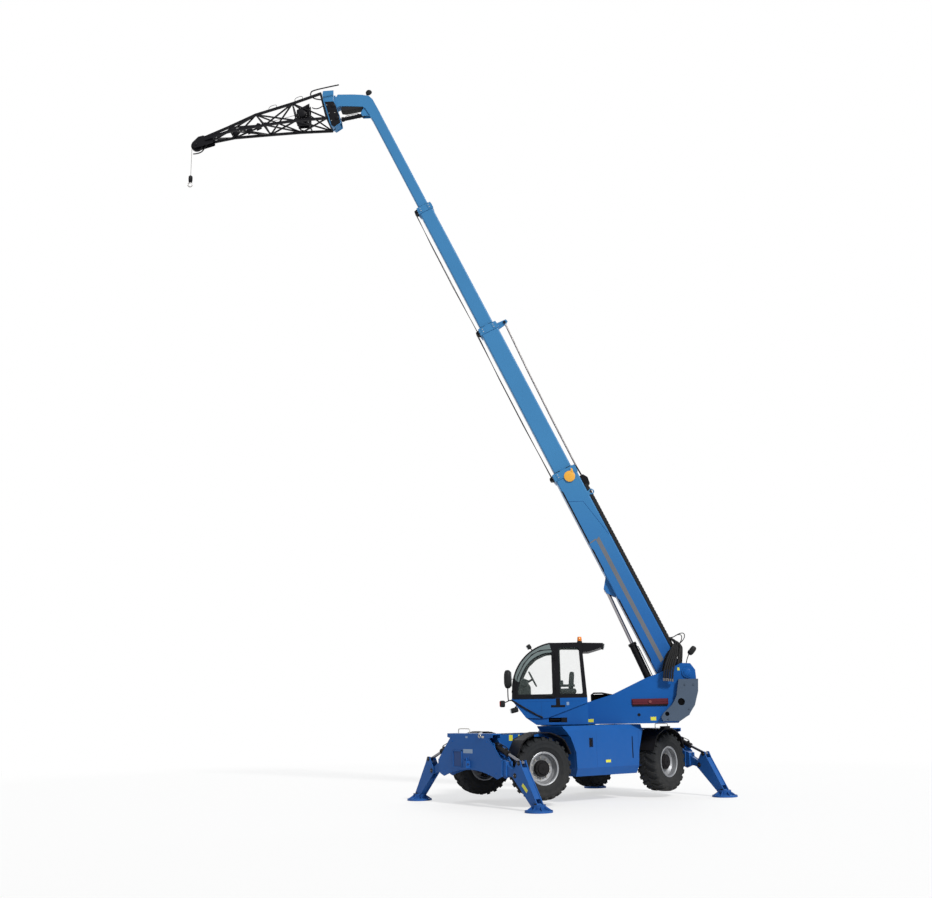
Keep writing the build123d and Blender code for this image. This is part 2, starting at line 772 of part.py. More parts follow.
# ---------------------------------------------------------------- cab
def cab_outline(y_far, inset=0, low=SILL_Z):
    """The cab's side above the sill, its front and roof in one sweep."""
    with BuildSketch(Plane.XZ.offset(-y_far)) as sketch:
        with BuildLine():
            Line((-420, low), (1060, low))
            Line((1060, low), (1052, 2120))
            ThreePointArc((1052, 2120), (862, 2700), (290, 3040))
            Line((290, 3040), (-350, 3020))
            Line((-350, 3020), (-420, low))
        make_face()
        if inset:
            offset(amount=-inset, kind=Kind.INTERSECTION, mode=Mode.REPLACE)
    return sketch.sketch


def window(points, y_far, depth, radius=40):
    """A window through one of the cab's sides."""
    extrude(upright(points, y_far, radius=radius), amount=depth, mode=Mode.SUBTRACT)


door_edge = [
    (195, SILL_Z + 4),
    (1000, SILL_Z + 4),
    (990, 2120),
    (930, 2390),
    (800, 2640),
    (640, 2810),
    (470, 2890),
    (195, 2890),
]
door_window = [
    (250, 2040),
    (950, 2040),
    (936, 2140),
    (880, 2370),
    (760, 2600),
    (595, 2752),
    (400, 2835),
    (250, 2845),
]
quarter_window = [(115, 2040), (-340, 2040), (-290, 2940), (115, 2950)]
cab_wide = CAB_OUT - CAB_IN
rear_hole = [(-480, 2060), (-300, 2060), (-250, 2840), (-430, 2840)]
rear_pane = [(-399, 2060 + SEAT), (-393, 2060 + SEAT), (-341, 2840 - SEAT), (-347, 2840 - SEAT)]
with BuildPart() as cab_frame:
    extrude(cab_outline(CAB_OUT), amount=cab_wide)
    extrude(
        cab_outline(CAB_OUT - CAB_WALL, CAB_WALL, SILL_Z - CAB_WALL - 1),
        amount=cab_wide - 2 * CAB_WALL,
        mode=Mode.SUBTRACT,
    )
    # Doorway, quarter window and the windows on the boom's side
    extrude(upright(door_edge, CAB_OUT + 1), amount=CAB_WALL + 2, mode=Mode.SUBTRACT)
    window(quarter_window, CAB_OUT + 1, CAB_WALL + 2)
    window(quarter_window, CAB_IN + CAB_WALL + 1, CAB_WALL + 2)
    window(door_window, CAB_IN + CAB_WALL + 1, CAB_WALL + 2)
    # Windscreen that runs up into the roof, and the rear window
    with Locations((900, (CAB_IN + CAB_OUT) / 2, 2480)):
        Box(1230, cab_wide - 130, 880, mode=Mode.SUBTRACT)
    extrude(
        upright(rear_hole, CAB_OUT - 80), amount=cab_wide - 160, mode=Mode.SUBTRACT
    )
    # Hinge eyes for the door, on the post
    for z in HINGE_Z:
        with Locations((HINGE_X - 12, CAB_OUT + HINGE_OUT / 2, z)):
            Box(30, HINGE_OUT + 2, 40)
        with Locations((HINGE_X, CAB_OUT + HINGE_OUT, z)):
            Cylinder(HINGE_R, 40)
            Cylinder(HINGE_PIN_R + PIN_GAP, 40, mode=Mode.SUBTRACT)
    # Visor behind the roof
    visor = [(-340, 3030), (-770, 3015), (-735, 2925), (-470, 2850), (-353, 2850)]
    extrude(upright(visor, CAB_OUT - 30), amount=cab_wide - 60)
write(cab_frame, "cab_frame", TURRET)

with BuildPart() as cab_door:
    extrude(
        offset(upright(door_edge, CAB_OUT), amount=-DOOR_GAP, kind=Kind.INTERSECTION, mode=Mode.PRIVATE),
        amount=DOOR_T,
    )
    window(door_window, CAB_OUT + 1, DOOR_T + 2)
    # Straps with the hinge pins, above the post's eyes
    for z in HINGE_Z:
        with Locations((HINGE_X + 30, CAB_OUT + HINGE_OUT, z + 40 + SEAT)):
            Box(60, 10, 40)
        with Locations((HINGE_X + 45, CAB_OUT + HINGE_OUT / 2, z + 40 + SEAT)):
            Box(30, HINGE_OUT + 2, 40)
        with Locations((HINGE_X, CAB_OUT + HINGE_OUT, z + 40 + SEAT)):
            Cylinder(HINGE_R, 40)
        with Locations((HINGE_X, CAB_OUT + HINGE_OUT, z + 15)):
            Cylinder(HINGE_PIN_R, 70)
write(cab_door, "cab_door", TURRET)

base = [
    (1060, SILL_Z - SEAT),
    (1052, 1930),
    (790, 1600 + SEAT),
    (480, 1585 + SEAT),
    (360, 1595 + SEAT),
    (-420, 1875 + SEAT),
    (-420, SILL_Z - SEAT),
]
WELL_Z = 1650
WELL_X = 380
WELL_BACK = (-370, 1905)
with BuildPart() as cab_base:
    extrude(upright(base, CAB_OUT), amount=CAB_OUT - CHEEK_OUT - SEAT)
    well = [(1000, 1990), (1000, 1945), (770, WELL_Z), (WELL_X, WELL_Z), WELL_BACK, (-370, 1990)]
    extrude(
        upright(well, CAB_OUT - CAB_WALL),
        amount=CAB_OUT - CAB_WALL - CHEEK_OUT - CAB_WALL,
        mode=Mode.SUBTRACT,
    )
    with Locations(((1060 - 420) / 2, (CAB_IN + CHEEK_OUT) / 2 + 1, SILL_Z - 20 - SEAT)):
        Box(1480, CHEEK_OUT - CAB_IN + 2, 40)
write(cab_base, "cab_base", TURRET)

with BuildPart() as cab_glass:
    # Windscreen
    extrude(cab_outline(CAB_OUT - 65 - SEAT, 20), amount=cab_wide - 130 - 2 * SEAT)
    extrude(cab_outline(CAB_OUT, 20 + GLASS_T), amount=cab_wide, mode=Mode.SUBTRACT)
    with BuildPart(mode=Mode.PRIVATE) as screen_zone:
        with Locations((900, (CAB_IN + CAB_OUT) / 2, 2480)):
            Box(1230 - 2 * SEAT, cab_wide - 130 - 2 * SEAT, 880 - 2 * SEAT)
    add(screen_zone.part, mode=Mode.INTERSECT)
    # Side and rear panes
    shrink = dict(amount=-SEAT, kind=Kind.INTERSECTION, mode=Mode.PRIVATE)
    panes = ((quarter_window, CAB_OUT - 20), (quarter_window, CAB_IN + 26), (door_window, CAB_IN + 26))
    for points, y in panes:
        extrude(offset(upright(points, y, radius=40), **shrink), amount=GLASS_T)
    extrude(upright(rear_pane, CAB_OUT - 80 - SEAT), amount=cab_wide - 160 - 2 * SEAT)
write(cab_glass, "cab_glass", TURRET)

with BuildPart() as door_glass:
    extrude(offset(upright(door_window, CAB_OUT - 15, radius=40), **shrink), amount=GLASS_T)
write(door_glass, "door_glass", TURRET)



def floor_at(x):
    """Height of the cab's floor where it rises under the seat."""
    return WELL_Z + (WELL_X - x) * (WELL_BACK[1] - WELL_Z) / (WELL_X - WELL_BACK[0])


with BuildPart() as cab_interior:
    # Seat on its box, and the steering column with its console
    middle = (CAB_OUT + CHEEK_OUT) / 2
    box = [(x, floor_at(x) + 1.1 * SEAT) for x in (150, -210)] + [(-210, 2130), (150, 2130)]
    extrude(upright(box, middle + 200), amount=400)
    back = [(-160, 2100), (-40, 2100), (-80, 2440), (-180, 2440)]
    extrude(upright(back, middle + 220), amount=440)
    console = [
        (690, WELL_Z + SEAT),
        (768, WELL_Z + SEAT),
        (890, 1830),
        (890, 2300),
        (740, 2290),
        (650, 2200),
    ]
    extrude(upright(console, middle + 90), amount=180)
write(cab_interior, "cab_interior", TURRET)

with BuildPart() as mirrors_and_lights:
    # Front mirror on its arm, its foot on the sill's corner
    with Locations((1058.4 + 96 / 2 + SEAT, CAB_OUT - 60, 1950)):
        Box(96, 30, 24)
    with Locations((1135, CAB_OUT - 60, 2180)):
        Cylinder(12, 530)
    with Locations((1135, CAB_OUT - 60, 2350)):
        Box(50, 180, 340)
    # Rear mirror on the left cheek
    with Locations(Location((-2420, CHEEK_OUT - 15, 2617.6 + SEAT), (0, -20, 0))):
        Cylinder(10, 230, align=(Align.CENTER, Align.CENTER, Align.MIN))
    with Locations(Location((-2500, CHEEK_OUT - 15, 2840), (0, -40, 0))):
        Box(60, 190, 150)
    # Beacon on the visor
    with Locations((-400, CAB_OUT - 200, 3030 + SEAT)):
        Cylinder(48, 130, align=(Align.CENTER, Align.CENTER, Align.MIN))
write(mirrors_and_lights, "mirrors_and_lights", TURRET)

# ---------------------------------------------------------------- boom
PIVOT_BOSS = 110
for number, (wide, high, wall, end, length) in enumerate(SECTIONS, start=1):
    with BuildPart() as section:
        start = end - length
        with BuildSketch(Plane.YZ.offset(start)):
            with Locations((0, -BOOM_DROP)):
                RectangleRounded(wide, high, 30)
                RectangleRounded(wide - 2 * wall, high - 2 * wall, 30 - wall, mode=Mode.SUBTRACT)
        extrude(amount=length)
        if number < 4:
            # Collar with the guide blocks that carry the next section
            next_wide, next_high = SECTIONS[number][0], SECTIONS[number][1]
            with BuildSketch(Plane.YZ.offset(end - COLLAR_L)):
                with Locations((0, -BOOM_DROP)):
                    Rectangle(wide + 2 * COLLAR_T, high + 2 * COLLAR_T)
                    Rectangle(next_wide + 2 * PAD_GAP, next_high + 2 * PAD_GAP, mode=Mode.SUBTRACT)
            extrude(amount=COLLAR_L)
        if number > 1:
            # Guide blocks at the inner end, running in the section before
            last_wide, last_high, last_wall = SECTIONS[number - 2][:3]
            with BuildSketch(Plane.YZ.offset(start)):
                with Locations((0, -BOOM_DROP)):
                    Rectangle(
                        last_wide - 2 * last_wall - 2 * PAD_GAP - 10,
                        last_high - 2 * last_wall - 2 * PAD_GAP,
                    )
                    RectangleRounded(wide - 2, high - 2, 29, mode=Mode.SUBTRACT)
                    for y in (1, -1):
                        for z in (1, -1):
                            with Locations((y * last_wide / 2, z * last_high / 2)):
                                Rectangle(90, 90, mode=Mode.SUBTRACT)
            extrude(amount=150)
        if number == 1:
            # Foot: two ears and a tube on the pivot pin
            ear = [(-BOOM_TAIL, -120), (-60, 80), (70, 80), (370, -38), (370, -120)]
            ear_far = wide / 2
            for far in (ear_far, 30 - ear_far):
                extrude(upright(ear, far), amount=30)
            extrude(disc((0, 0), PIVOT_BOSS, CHEEK_IN - SIDE_PLAY), amount=2 * (CHEEK_IN - SIDE_PLAY))
            extrude(
                disc((0, 0), PIVOT_R + PIN_GAP, CHEEK_IN), amount=2 * CHEEK_IN, mode=Mode.SUBTRACT
            )
            # Lift cylinder's lug under the section
            x, z = LIFT_LUG
            low = -BOOM_DROP - high / 2 + 5
            lug = [(x - 220, low), (x + 260, low), (x + 60, z - 40), (x - 60, z - 40)]
            eye = LIFT_BARREL_R
            for far in (eye + SIDE_PLAY + 30, -eye - SIDE_PLAY):
                extrude(upright(lug, far), amount=30)
        if number == 4:
            # Gooseneck down to the tilting pin
            x, z = TILT_PIN
            neck = [
                (end - 260, -BOOM_DROP + high / 2 - 1),
                (end + 180, -BOOM_DROP + high / 2 - 7),
                (end + 305, -BOOM_DROP + high / 2 - 50),
                (end + 410, -BOOM_DROP + high / 2 - 175),
                (x + 41, z + 556),
                (x + 226, z + 226),
                (x + 171, z + 136),
                (x + 101, z + 46),
                (x + 60, z - 40),
                (x - 70, z - 60),
                (x - 80, z + 146),
                (end + 117, -BOOM_DROP - high / 2 - 50),
                (end + 40, -BOOM_DROP - high / 2 - 20),
                (end - 260, -BOOM_DROP - high / 2 + 1),
            ]
            extrude(upright(neck, wide / 2), amount=wide)
            extrude(disc(TILT_PIN, 80, wide / 2), amount=wide)
            extrude(disc(TILT_PIN, 40 + PIN_GAP, wide / 2), amount=wide, mode=Mode.SUBTRACT)
            # Ears for the tilt cylinder
            x, z = TILT_BASE
            ear = [
                (x - 130, -BOOM_DROP - high / 2 + 5),
                (x + 150, -BOOM_DROP - high / 2 - 30),
                (x + 40, z - 30),
                (x - 40, z - 30),
            ]
            ear_in = TILT_BARREL_R + SIDE_PLAY
            for far in (ear_in + 20, -ear_in):
                extrude(upright(ear, far), amount=20)
            extrude(disc(TILT_BASE, 25, ear_in + 20), amount=2 * ear_in + 40)
    write(section, f"boom_section_{number}", BOOM)


def cylinder_pair(name, base, tip, barrel_r, barrel_l, rod_r, rod_l, pin_r, frame):
    """A hydraulic cylinder from its base pin to its rod's eye."""
    stand, reach = between(base, tip)
    crosswise = Location((0, 0, 0), (90, 0, 0))
    with BuildPart() as barrel:
        with BuildSketch(Plane.YZ):
            Circle(barrel_r)
        extrude(amount=barrel_l)
        with Locations(crosswise):
            Cylinder(barrel_r, 2 * barrel_r)
            Cylinder(pin_r + PIN_GAP, 2 * barrel_r, mode=Mode.SUBTRACT)
        with BuildSketch(Plane.YZ.offset(2 * barrel_r)):
            Circle(rod_r + PIN_GAP)
        extrude(amount=barrel_l - 2 * barrel_r, mode=Mode.SUBTRACT)
    write(barrel, f"{name}_barrel", frame * stand)
    with BuildPart() as rod:
        with BuildSketch(Plane.YZ.offset(reach - rod_l)):
            Circle(rod_r)
        extrude(amount=rod_l)
        with Locations(Location((reach, 0, 0), (90, 0, 0))):
            Cylinder(1.45 * rod_r, 2 * barrel_r)
    write(rod, f"{name}_rod", frame * stand)


cylinder_pair(
    "lift", LIFT_BASE, lift_lug, LIFT_BARREL_R, LIFT_BARREL_L, LIFT_ROD_R, LIFT_ROD_L, LIFT_PIN_R, TURRET
)
arm = radians(TILT_ARM_AT)
tilt_eye = (tilt_pin[0] + TILT_ARM * cos(arm), tilt_pin[1] + TILT_ARM * sin(arm))
cylinder_pair(
    "tilt", tilt_base, tilt_eye, TILT_BARREL_R, TILT_BARREL_L, TILT_ROD_R, TILT_ROD_L, 25, TURRET
)

# ---------------------------------------------------------------- carriage and jib
NECK_W = SECTIONS[3][0]
FACE_TOP = (235, 150)
FACE_LOW = (55, -500)
CARRIAGE_T = 25
carriage_in = NECK_W / 2 + SIDE_PLAY
eye_x, eye_z = TILT_ARM * cos(arm), TILT_ARM * sin(arm)
with BuildPart() as carriage:
    side = [
        (-85, -50),
        (-80, 60),
        (-10, 130),
        (-10, 405),
        (250, 405),
        (262, 300),
        (215, 120),
        (45, -500),
        (30, -530),
        (-40, -585),
        (-200, -480),
        (-170, -300),
    ]
    for far in (carriage_in + CARRIAGE_T, -carriage_in):
        extrude(upright(side, far, radius=15), amount=CARRIAGE_T)
    wide = carriage_in + CARRIAGE_T
    extrude(disc((0, 0), 40, wide), amount=2 * wide)
    # Hood over the neck's end, and the front plate that takes the jib
    head = [
        (145, 391),
        (145, 403),
        (248, 403),
        (259, 300),
        (235, 149),
        (222, 149),
        (247, 300),
        (237, 391),
    ]
    extrude(upright(head, wide - 1), amount=2 * wide - 2)
    front = [(FACE_TOP[0] - 20, 150), FACE_TOP, FACE_LOW, (FACE_LOW[0] - 20, -500)]
    extrude(upright(front, wide + 60), amount=2 * wide + 120)
    foot = [(-40, -583), (28, -530), (-60, -480), (-165, -480)]
    extrude(upright(foot, wide - 1), amount=2 * wide - 2)
    boss = carriage_in - TILT_BARREL_R - SIDE_PLAY
    for far in (carriage_in + 1, -TILT_BARREL_R - SIDE_PLAY):
        extrude(disc((eye_x, eye_z), 40, far), amount=boss + 1)
write(carriage, "carriage", JIB)

TUBE = 50
BRACE = 30
# Chord nodes: distance out, height, half the width between the two side frames
face_run = (FACE_TOP[0] - FACE_LOW[0]) / (FACE_TOP[1] - FACE_LOW[1])
face_off = (TUBE / 2 + SEAT) * hypot(1, face_run)


def on_face(z):
    """Where the tube that rests on the carriage's front plate has its axis."""
    return FACE_LOW[0] + (z - FACE_LOW[1]) * face_run + face_off


top_nodes = [(on_face(420), 420, 0), (1030, 210, 0), (1930, -20, 0), (2620, -310, 0), (3270, -560, 0)]
low_nodes = [
    (on_face(-430), -430, 300),
    (850, -420, 280),
    (1620, -450, 235),
    (2500, -500, 170),
    (3130, -640, 90),
]


def tube(start, end, size):
    """Adds a square tube between two points."""
    a, b = Vector(*start), Vector(*end)
    run = b - a
    flat = Vector(0, 1, 0) if abs(run.normalized().Y) < 0.9 else Vector(1, 0, 0)
    with Locations(Location(Plane(origin=(a + b) / 2, x_dir=flat.cross(run), z_dir=run))):
        Box(size, size, run.length + size / 2)


def at(node, side):
    """A chord's node on one side frame."""
    x, z, y = node
    return (x, side * y, z)


with BuildPart() as jib:
    # One chord on top and two below, with braces between them
    for first, second in zip(top_nodes, top_nodes[1:]):
        tube(at(first, 1), at(second, 1), TUBE)
    for side in (1, -1):
        for first, second in zip(low_nodes, low_nodes[1:]):
            tube(at(first, side), at(second, side), TUBE)
            tube(at(first, side), at(second, -side), BRACE)
        for top, low, size in zip(top_nodes, low_nodes, [TUBE] + 4 * [BRACE]):
            tube(at(top, side), at(low, side), size)
        for top, low in zip(top_nodes[1:], low_nodes):
            tube(at(low, side), at(top, side), BRACE)
        for top, low in zip(top_nodes[1:3], low_nodes[2:4]):
            tube(at(top, side), at(low, side), BRACE)
    for node in low_nodes:
        tube(at(node, -1), at(node, 1), BRACE)
    # Tip: two plates that hold the sheave
    x, z = JIB_REACH, JIB_TIP_Z
    tip = [
        (3200, -520),
        (3320, -545),
        (x + 95, z + 50),
        (x + 95, z - 40),
        (x + 20, z - 95),
        (2950, -720),
        (2950, -600),
    ]
    for far in (90, -70):
        extrude(upright(tip, far), amount=20)
    tube((3270, -90, -560), (3270, 90, -560), BRACE)
    with Locations(Location((JIB_REACH, 0, JIB_TIP_Z), (90, 0, 0))):
        Cylinder(25, 180)
        Cylinder(GROOVE_R, 60)
    for far in (30, -ROPE_R - 0.8):
        extrude(disc((JIB_REACH, JIB_TIP_Z), SHEAVE_R, far), amount=30 - ROPE_R - 0.8)
    # Winch on two bars between the lower chords
    for y in (60, -80):
        extrude(upright([(560, -435), (880, -435), (900, -20), (590, 130)], y + 20), amount=20)
    with Locations(Location((735, 0, -190), (90, 0, 0))):
        Cylinder(120, 158)
    for x in (590, 850):
        tube((x, -285, -422), (x, 285, -422), BRACE)
write(jib, "jib", JIB)

with BuildPart() as hook:
    rope_x = JIB_REACH + GROOVE_R + 10 + ROPE_R
    with Locations((rope_x, 0, JIB_TIP_Z)):
        Cylinder(ROPE_R, HOOK_DROP, align=(Align.CENTER, Align.CENTER, Align.MAX))
        Sphere(ROPE_R)
    with Locations((rope_x, 0, JIB_TIP_Z - HOOK_DROP)):
        Cylinder(45, 170, align=(Align.CENTER, Align.CENTER, Align.MAX))
    with BuildSketch(Plane.XZ.offset(-14)):
        with Locations((rope_x, JIB_TIP_Z - HOOK_DROP - 240)):
            Circle(75)
            Circle(42, mode=Mode.SUBTRACT)
        with Locations((rope_x - 40, JIB_TIP_Z - HOOK_DROP - 205)):
            Rectangle(60, 36, rotation=30, mode=Mode.SUBTRACT)
    extrude(amount=28)
write(hook, "hook", JIB)
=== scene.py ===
"""Rotating telehandler on its outriggers, with the boom run out and a lattice jib on its head."""

import bpy
import json
import numpy as np
from mathutils import Matrix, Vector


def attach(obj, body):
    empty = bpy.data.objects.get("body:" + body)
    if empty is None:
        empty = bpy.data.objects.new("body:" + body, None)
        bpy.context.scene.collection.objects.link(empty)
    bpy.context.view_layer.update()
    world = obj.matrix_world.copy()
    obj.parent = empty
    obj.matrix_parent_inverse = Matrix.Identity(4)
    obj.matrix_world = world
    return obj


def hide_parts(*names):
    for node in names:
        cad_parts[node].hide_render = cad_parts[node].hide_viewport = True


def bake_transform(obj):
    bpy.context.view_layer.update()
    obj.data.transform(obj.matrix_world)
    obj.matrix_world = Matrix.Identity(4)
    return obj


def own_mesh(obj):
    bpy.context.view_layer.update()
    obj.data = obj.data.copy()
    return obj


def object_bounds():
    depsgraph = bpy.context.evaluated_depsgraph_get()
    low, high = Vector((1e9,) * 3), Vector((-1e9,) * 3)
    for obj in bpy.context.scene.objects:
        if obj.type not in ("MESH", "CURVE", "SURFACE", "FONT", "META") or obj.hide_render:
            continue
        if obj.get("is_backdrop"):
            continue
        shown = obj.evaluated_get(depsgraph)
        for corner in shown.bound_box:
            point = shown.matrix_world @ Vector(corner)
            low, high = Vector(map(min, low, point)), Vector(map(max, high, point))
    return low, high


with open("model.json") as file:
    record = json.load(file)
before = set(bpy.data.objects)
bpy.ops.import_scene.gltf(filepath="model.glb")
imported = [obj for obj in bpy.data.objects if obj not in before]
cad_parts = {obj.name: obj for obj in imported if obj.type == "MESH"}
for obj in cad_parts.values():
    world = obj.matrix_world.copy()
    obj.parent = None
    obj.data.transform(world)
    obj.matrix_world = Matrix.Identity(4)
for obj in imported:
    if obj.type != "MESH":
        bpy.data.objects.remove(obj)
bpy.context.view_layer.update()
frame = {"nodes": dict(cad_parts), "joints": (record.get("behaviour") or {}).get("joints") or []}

# ---------------------------------------------------------------- floor, light and camera
# The machine stands on a pale yard floor, under a high soft sun behind the camera and an even
# sky, with a weaker lamp from behind. The camera stands on the ground in front of its left side.
joints = {joint["name"]: joint for joint in frame["joints"]}
slew_axis = np.array(joints["slew"]["pos_m"]) * (1, 1, 0)
CAMERA_FROM_SLEW = (14.843, 17.728, 1.759)
CAMERA_HEADING = (-0.5736, -0.8192)
CAMERA_PITCH = np.radians(13.50)
CAMERA_ROLL = np.radians(-0.992)
LENS = 42.09
FLOOR_R = 60
FADE_FROM, FADE_TO = 7, 20

view_forward = np.array([*(np.array(CAMERA_HEADING) * np.cos(CAMERA_PITCH)), np.sin(CAMERA_PITCH)])
view_right = np.cross(view_forward, (0, 0, 1))
view_right /= np.linalg.norm(view_right)
view_up = np.cross(view_right, view_forward)
turned_right = view_right * np.cos(CAMERA_ROLL) + view_up * np.sin(CAMERA_ROLL)
turned_up = view_up * np.cos(CAMERA_ROLL) - view_right * np.sin(CAMERA_ROLL)
camera_matrix = np.eye(4)
camera_matrix[:3, :3] = np.column_stack([turned_right, turned_up, -view_forward])
camera_matrix[:3, 3] = slew_axis + CAMERA_FROM_SLEW
camera = bpy.data.objects.new("camera", bpy.data.cameras.new("camera"))
camera.data.lens = LENS
camera.data.sensor_width = 36
camera.data.clip_end = 500
camera.matrix_world = Matrix(camera_matrix)
scene = bpy.context.scene
scene.collection.objects.link(camera)
scene.camera = camera
scene.view_settings.view_transform = "Standard"


def sun(name, towards, strength, angle, colour):
    """A distant lamp that shines along a direction."""
    lamp = bpy.data.lights.new(name, "SUN")
    lamp.energy = strength
    lamp.angle = np.radians(angle)
    lamp.color = colour
    holder = bpy.data.objects.new(name, lamp)
    z = -np.array(towards, float) / np.linalg.norm(towards)
    x = np.cross((0, 0.01, 1), z)
    x /= np.linalg.norm(x)
    matrix = np.eye(4)
    matrix[:3, :3] = np.column_stack([x, np.cross(z, x), z])
    holder.matrix_world = Matrix(matrix)
    scene.collection.objects.link(holder)


sun("high_sun", (-0.1, -0.8, -0.6), 3.1, 9, (1, 0.98, 0.95))
sun("back_fill", (0.6, 0.5, -0.6), 0.75, 40, (0.95, 0.98, 1))


def feed(tree, made, inputs):
    """Sets a shader node's inputs, each to a value or to the output that feeds it."""
    for socket, value in inputs.items():
        if isinstance(value, bpy.types.NodeSocket):
            tree.links.new(value, made.inputs[socket])
        else:
            made.inputs[socket].default_value = value


def node(tree, kind, inputs=None, **settings):
    """A new shader node with its settings and its inputs."""
    made = tree.nodes.new("ShaderNode" + kind)
    for name, value in settings.items():
        setattr(made, name, value)
    feed(tree, made, inputs or {})
    return made


# The sky is white where the eye meets it, straight, mirrored or through glass, and lights dimly
sky = bpy.data.worlds.new("sky")
sky.use_nodes = True
scene.world = sky
tree = sky.node_tree
tree.nodes.clear()
ray = node(tree, "LightPath").outputs
seen = node(tree, "Math", {0: ray["Is Camera Ray"], 1: ray["Is Glossy Ray"]}, operation="MAXIMUM")
seen = node(tree, "Math", {0: seen.outputs[0], 1: ray["Is Transmission Ray"]}, operation="MAXIMUM")
sky_light = node(tree, "Background", {"Color": (0.93, 0.96, 1, 1), "Strength": 0.32})
sky_seen = node(tree, "Background", {"Color": (1, 1, 1, 1)})
sky_mix = {0: seen.outputs[0], 1: sky_light.outputs[0], 2: sky_seen.outputs[0]}
node(tree, "OutputWorld", {"Surface": node(tree, "MixShader", sky_mix).outputs[0]})

turns = np.linspace(0, 2 * np.pi, 96, endpoint=False)
floor_edge = np.column_stack([np.cos(turns), np.sin(turns), 0 * turns]) * FLOOR_R
floor_mesh = bpy.data.meshes.new("floor")
floor_mesh.from_pydata(floor_edge + (0, 0, -0.002), [], [list(range(len(turns)))])
floor = bpy.data.objects.new("floor", floor_mesh)
scene.collection.objects.link(floor)
floor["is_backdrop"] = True
floor_paint = bpy.data.materials.new("pale_floor")
floor_paint.use_nodes = True
floor_mesh.materials.append(floor_paint)
tree = floor_paint.node_tree
yard = tree.nodes["Principled BSDF"]
feed(tree, yard, {"Base Color": (0.88, 0.88, 0.88, 1), "Roughness": 0.85})
# Away from the machine the floor fades into the white of the sky, and shadows on it stay pale
place = node(tree, "TexCoord").outputs["Object"]
far_off = node(tree, "VectorMath", {0: place}, operation="LENGTH").outputs["Value"]
fade_range = {"Value": far_off, "From Min": FADE_FROM, "From Max": FADE_TO}
fade = node(tree, "MapRange", fade_range, interpolation_type="SMOOTHSTEP").outputs["Result"]
looked_at = node(tree, "LightPath").outputs["Is Camera Ray"]
paler = node(tree, "Math", {0: looked_at, 1: 0.6}, operation="MULTIPLY").outputs[0]
share = node(tree, "Math", {0: paler, 1: fade}, operation="MAXIMUM").outputs[0]
glow = node(tree, "Emission").outputs[0]
floor_mix = node(tree, "MixShader", {0: share, 1: yard.outputs[0], 2: glow}).outputs[0]
feed(tree, tree.nodes["Material Output"], {"Surface": floor_mix})

# ---------------------------------------------------------------- chassis
# A welded box frame with a two-plate frame across each end, in gloss blue two-pack paint.
# The paint has a faint orange peel, dust that thins out with height, and duller patches.
END_OUT = 2.478
DUST_TOP = 1.8


def finish_of(name, colour, rough, metal=0.0, shine=0.5, peel=0.04, peel_size=60, dust=0.0, spread=0.25):
    """A painted, moulded or bare finish: its colour drifts a little, and it can be dusty low down.

    The dust's share falls in a straight line from the ground to DUST_TOP, times a cloudy noise.
    """
    material = bpy.data.materials.new(name)
    material.use_nodes = True
    tree = material.node_tree
    place = node(tree, "TexCoord").outputs["Object"]
    cloud = node(tree, "TexNoise", {"Vector": place, "Scale": 1.7, "Detail": 6}).outputs["Fac"]
    deep = (*(c * (1 - spread / 2) for c in colour), 1)
    pale = (*(min(c * (1 + spread / 2), 1) for c in colour), 1)
    tone = node(tree, "Mix", {"Factor": cloud, "A": deep, "B": pale}, data_type="RGBA").outputs["Result"]
    limits = {"Value": cloud, "To Min": rough * 0.8, "To Max": min(rough * 1.25, 1)}
    dull = node(tree, "MapRange", limits).outputs["Result"]
    if dust:
        height = node(tree, "SeparateXYZ", {0: place}).outputs["Z"]
        fall = {"Value": height, "From Min": DUST_TOP, "From Max": 0, "To Max": dust}
        low = node(tree, "MapRange", fall).outputs["Result"]
        grain = {"Vector": place, "Scale": 9, "Detail": 8, "Roughness": 0.7}
        grit = node(tree, "TexNoise", grain).outputs["Fac"]
        share = node(tree, "Math", {0: low, 1: grit}, operation="MULTIPLY").outputs[0]
        dusty = {"Factor": share, "A": tone, "B": (0.25, 0.23, 0.2, 1)}
        tone = node(tree, "Mix", dusty, data_type="RGBA").outputs["Result"]
        dull = node(tree, "Math", {0: dull, 1: share}, operation="ADD", use_clamp=True).outputs[0]
    skin_noise = node(tree, "TexNoise", {"Vector": place, "Scale": peel_size, "Detail": 3}).outputs["Fac"]
    bump = node(tree, "Bump", {"Height": skin_noise, "Strength": peel, "Distance": 0.002}).outputs[0]
    surface = {"Base Color": tone, "Roughness": dull, "Normal": bump}
    surface |= {"Metallic": metal, "Specular IOR Level": shine}
    feed(tree, tree.nodes["Principled BSDF"], surface)
    return material


def dress(material, *names):
    """Gives CAD nodes their finish."""
    for name in names:
        mesh = frame["nodes"][name].data
        mesh.materials.clear()
        mesh.materials.append(material)


def stand(origin, x, z):
    """A local frame: its origin, its X and Z directions, and Y square to both."""
    place = np.eye(4)
    x, z = np.array(x, float), np.array(z, float)
    place[:3] = np.column_stack([x, np.cross(z, x), z, origin])
    return place


def at(place, *shapes):
    """Shapes with their points taken out of a local frame."""
    return [(points @ place[:3, :3].T + place[:3, 3], faces) for points, faces in shapes]


def skin(rings, ends="closed"):
    """Four-sided faces between rings of equal counts, levels x around x 3.

    A ring runs counter-clockwise seen against the way that the levels follow. The ends are closed
    by flat faces, or joined to each other round a loop.
    """
    levels, around = rings.shape[:2]
    loop = ends == "joined"
    k = np.arange(levels if loop else levels - 1)[:, None]
    after = (k + 1) % levels * around
    i = np.arange(around)
    j = (i + 1) % around
    quads = np.stack([k * around + i, k * around + j, after + j, after + i], axis=-1).reshape(-1, 4)
    caps = [] if loop else [i[::-1][None], (i + (levels - 1) * around)[None]]
    return rings.reshape(-1, 3), [quads, *caps]


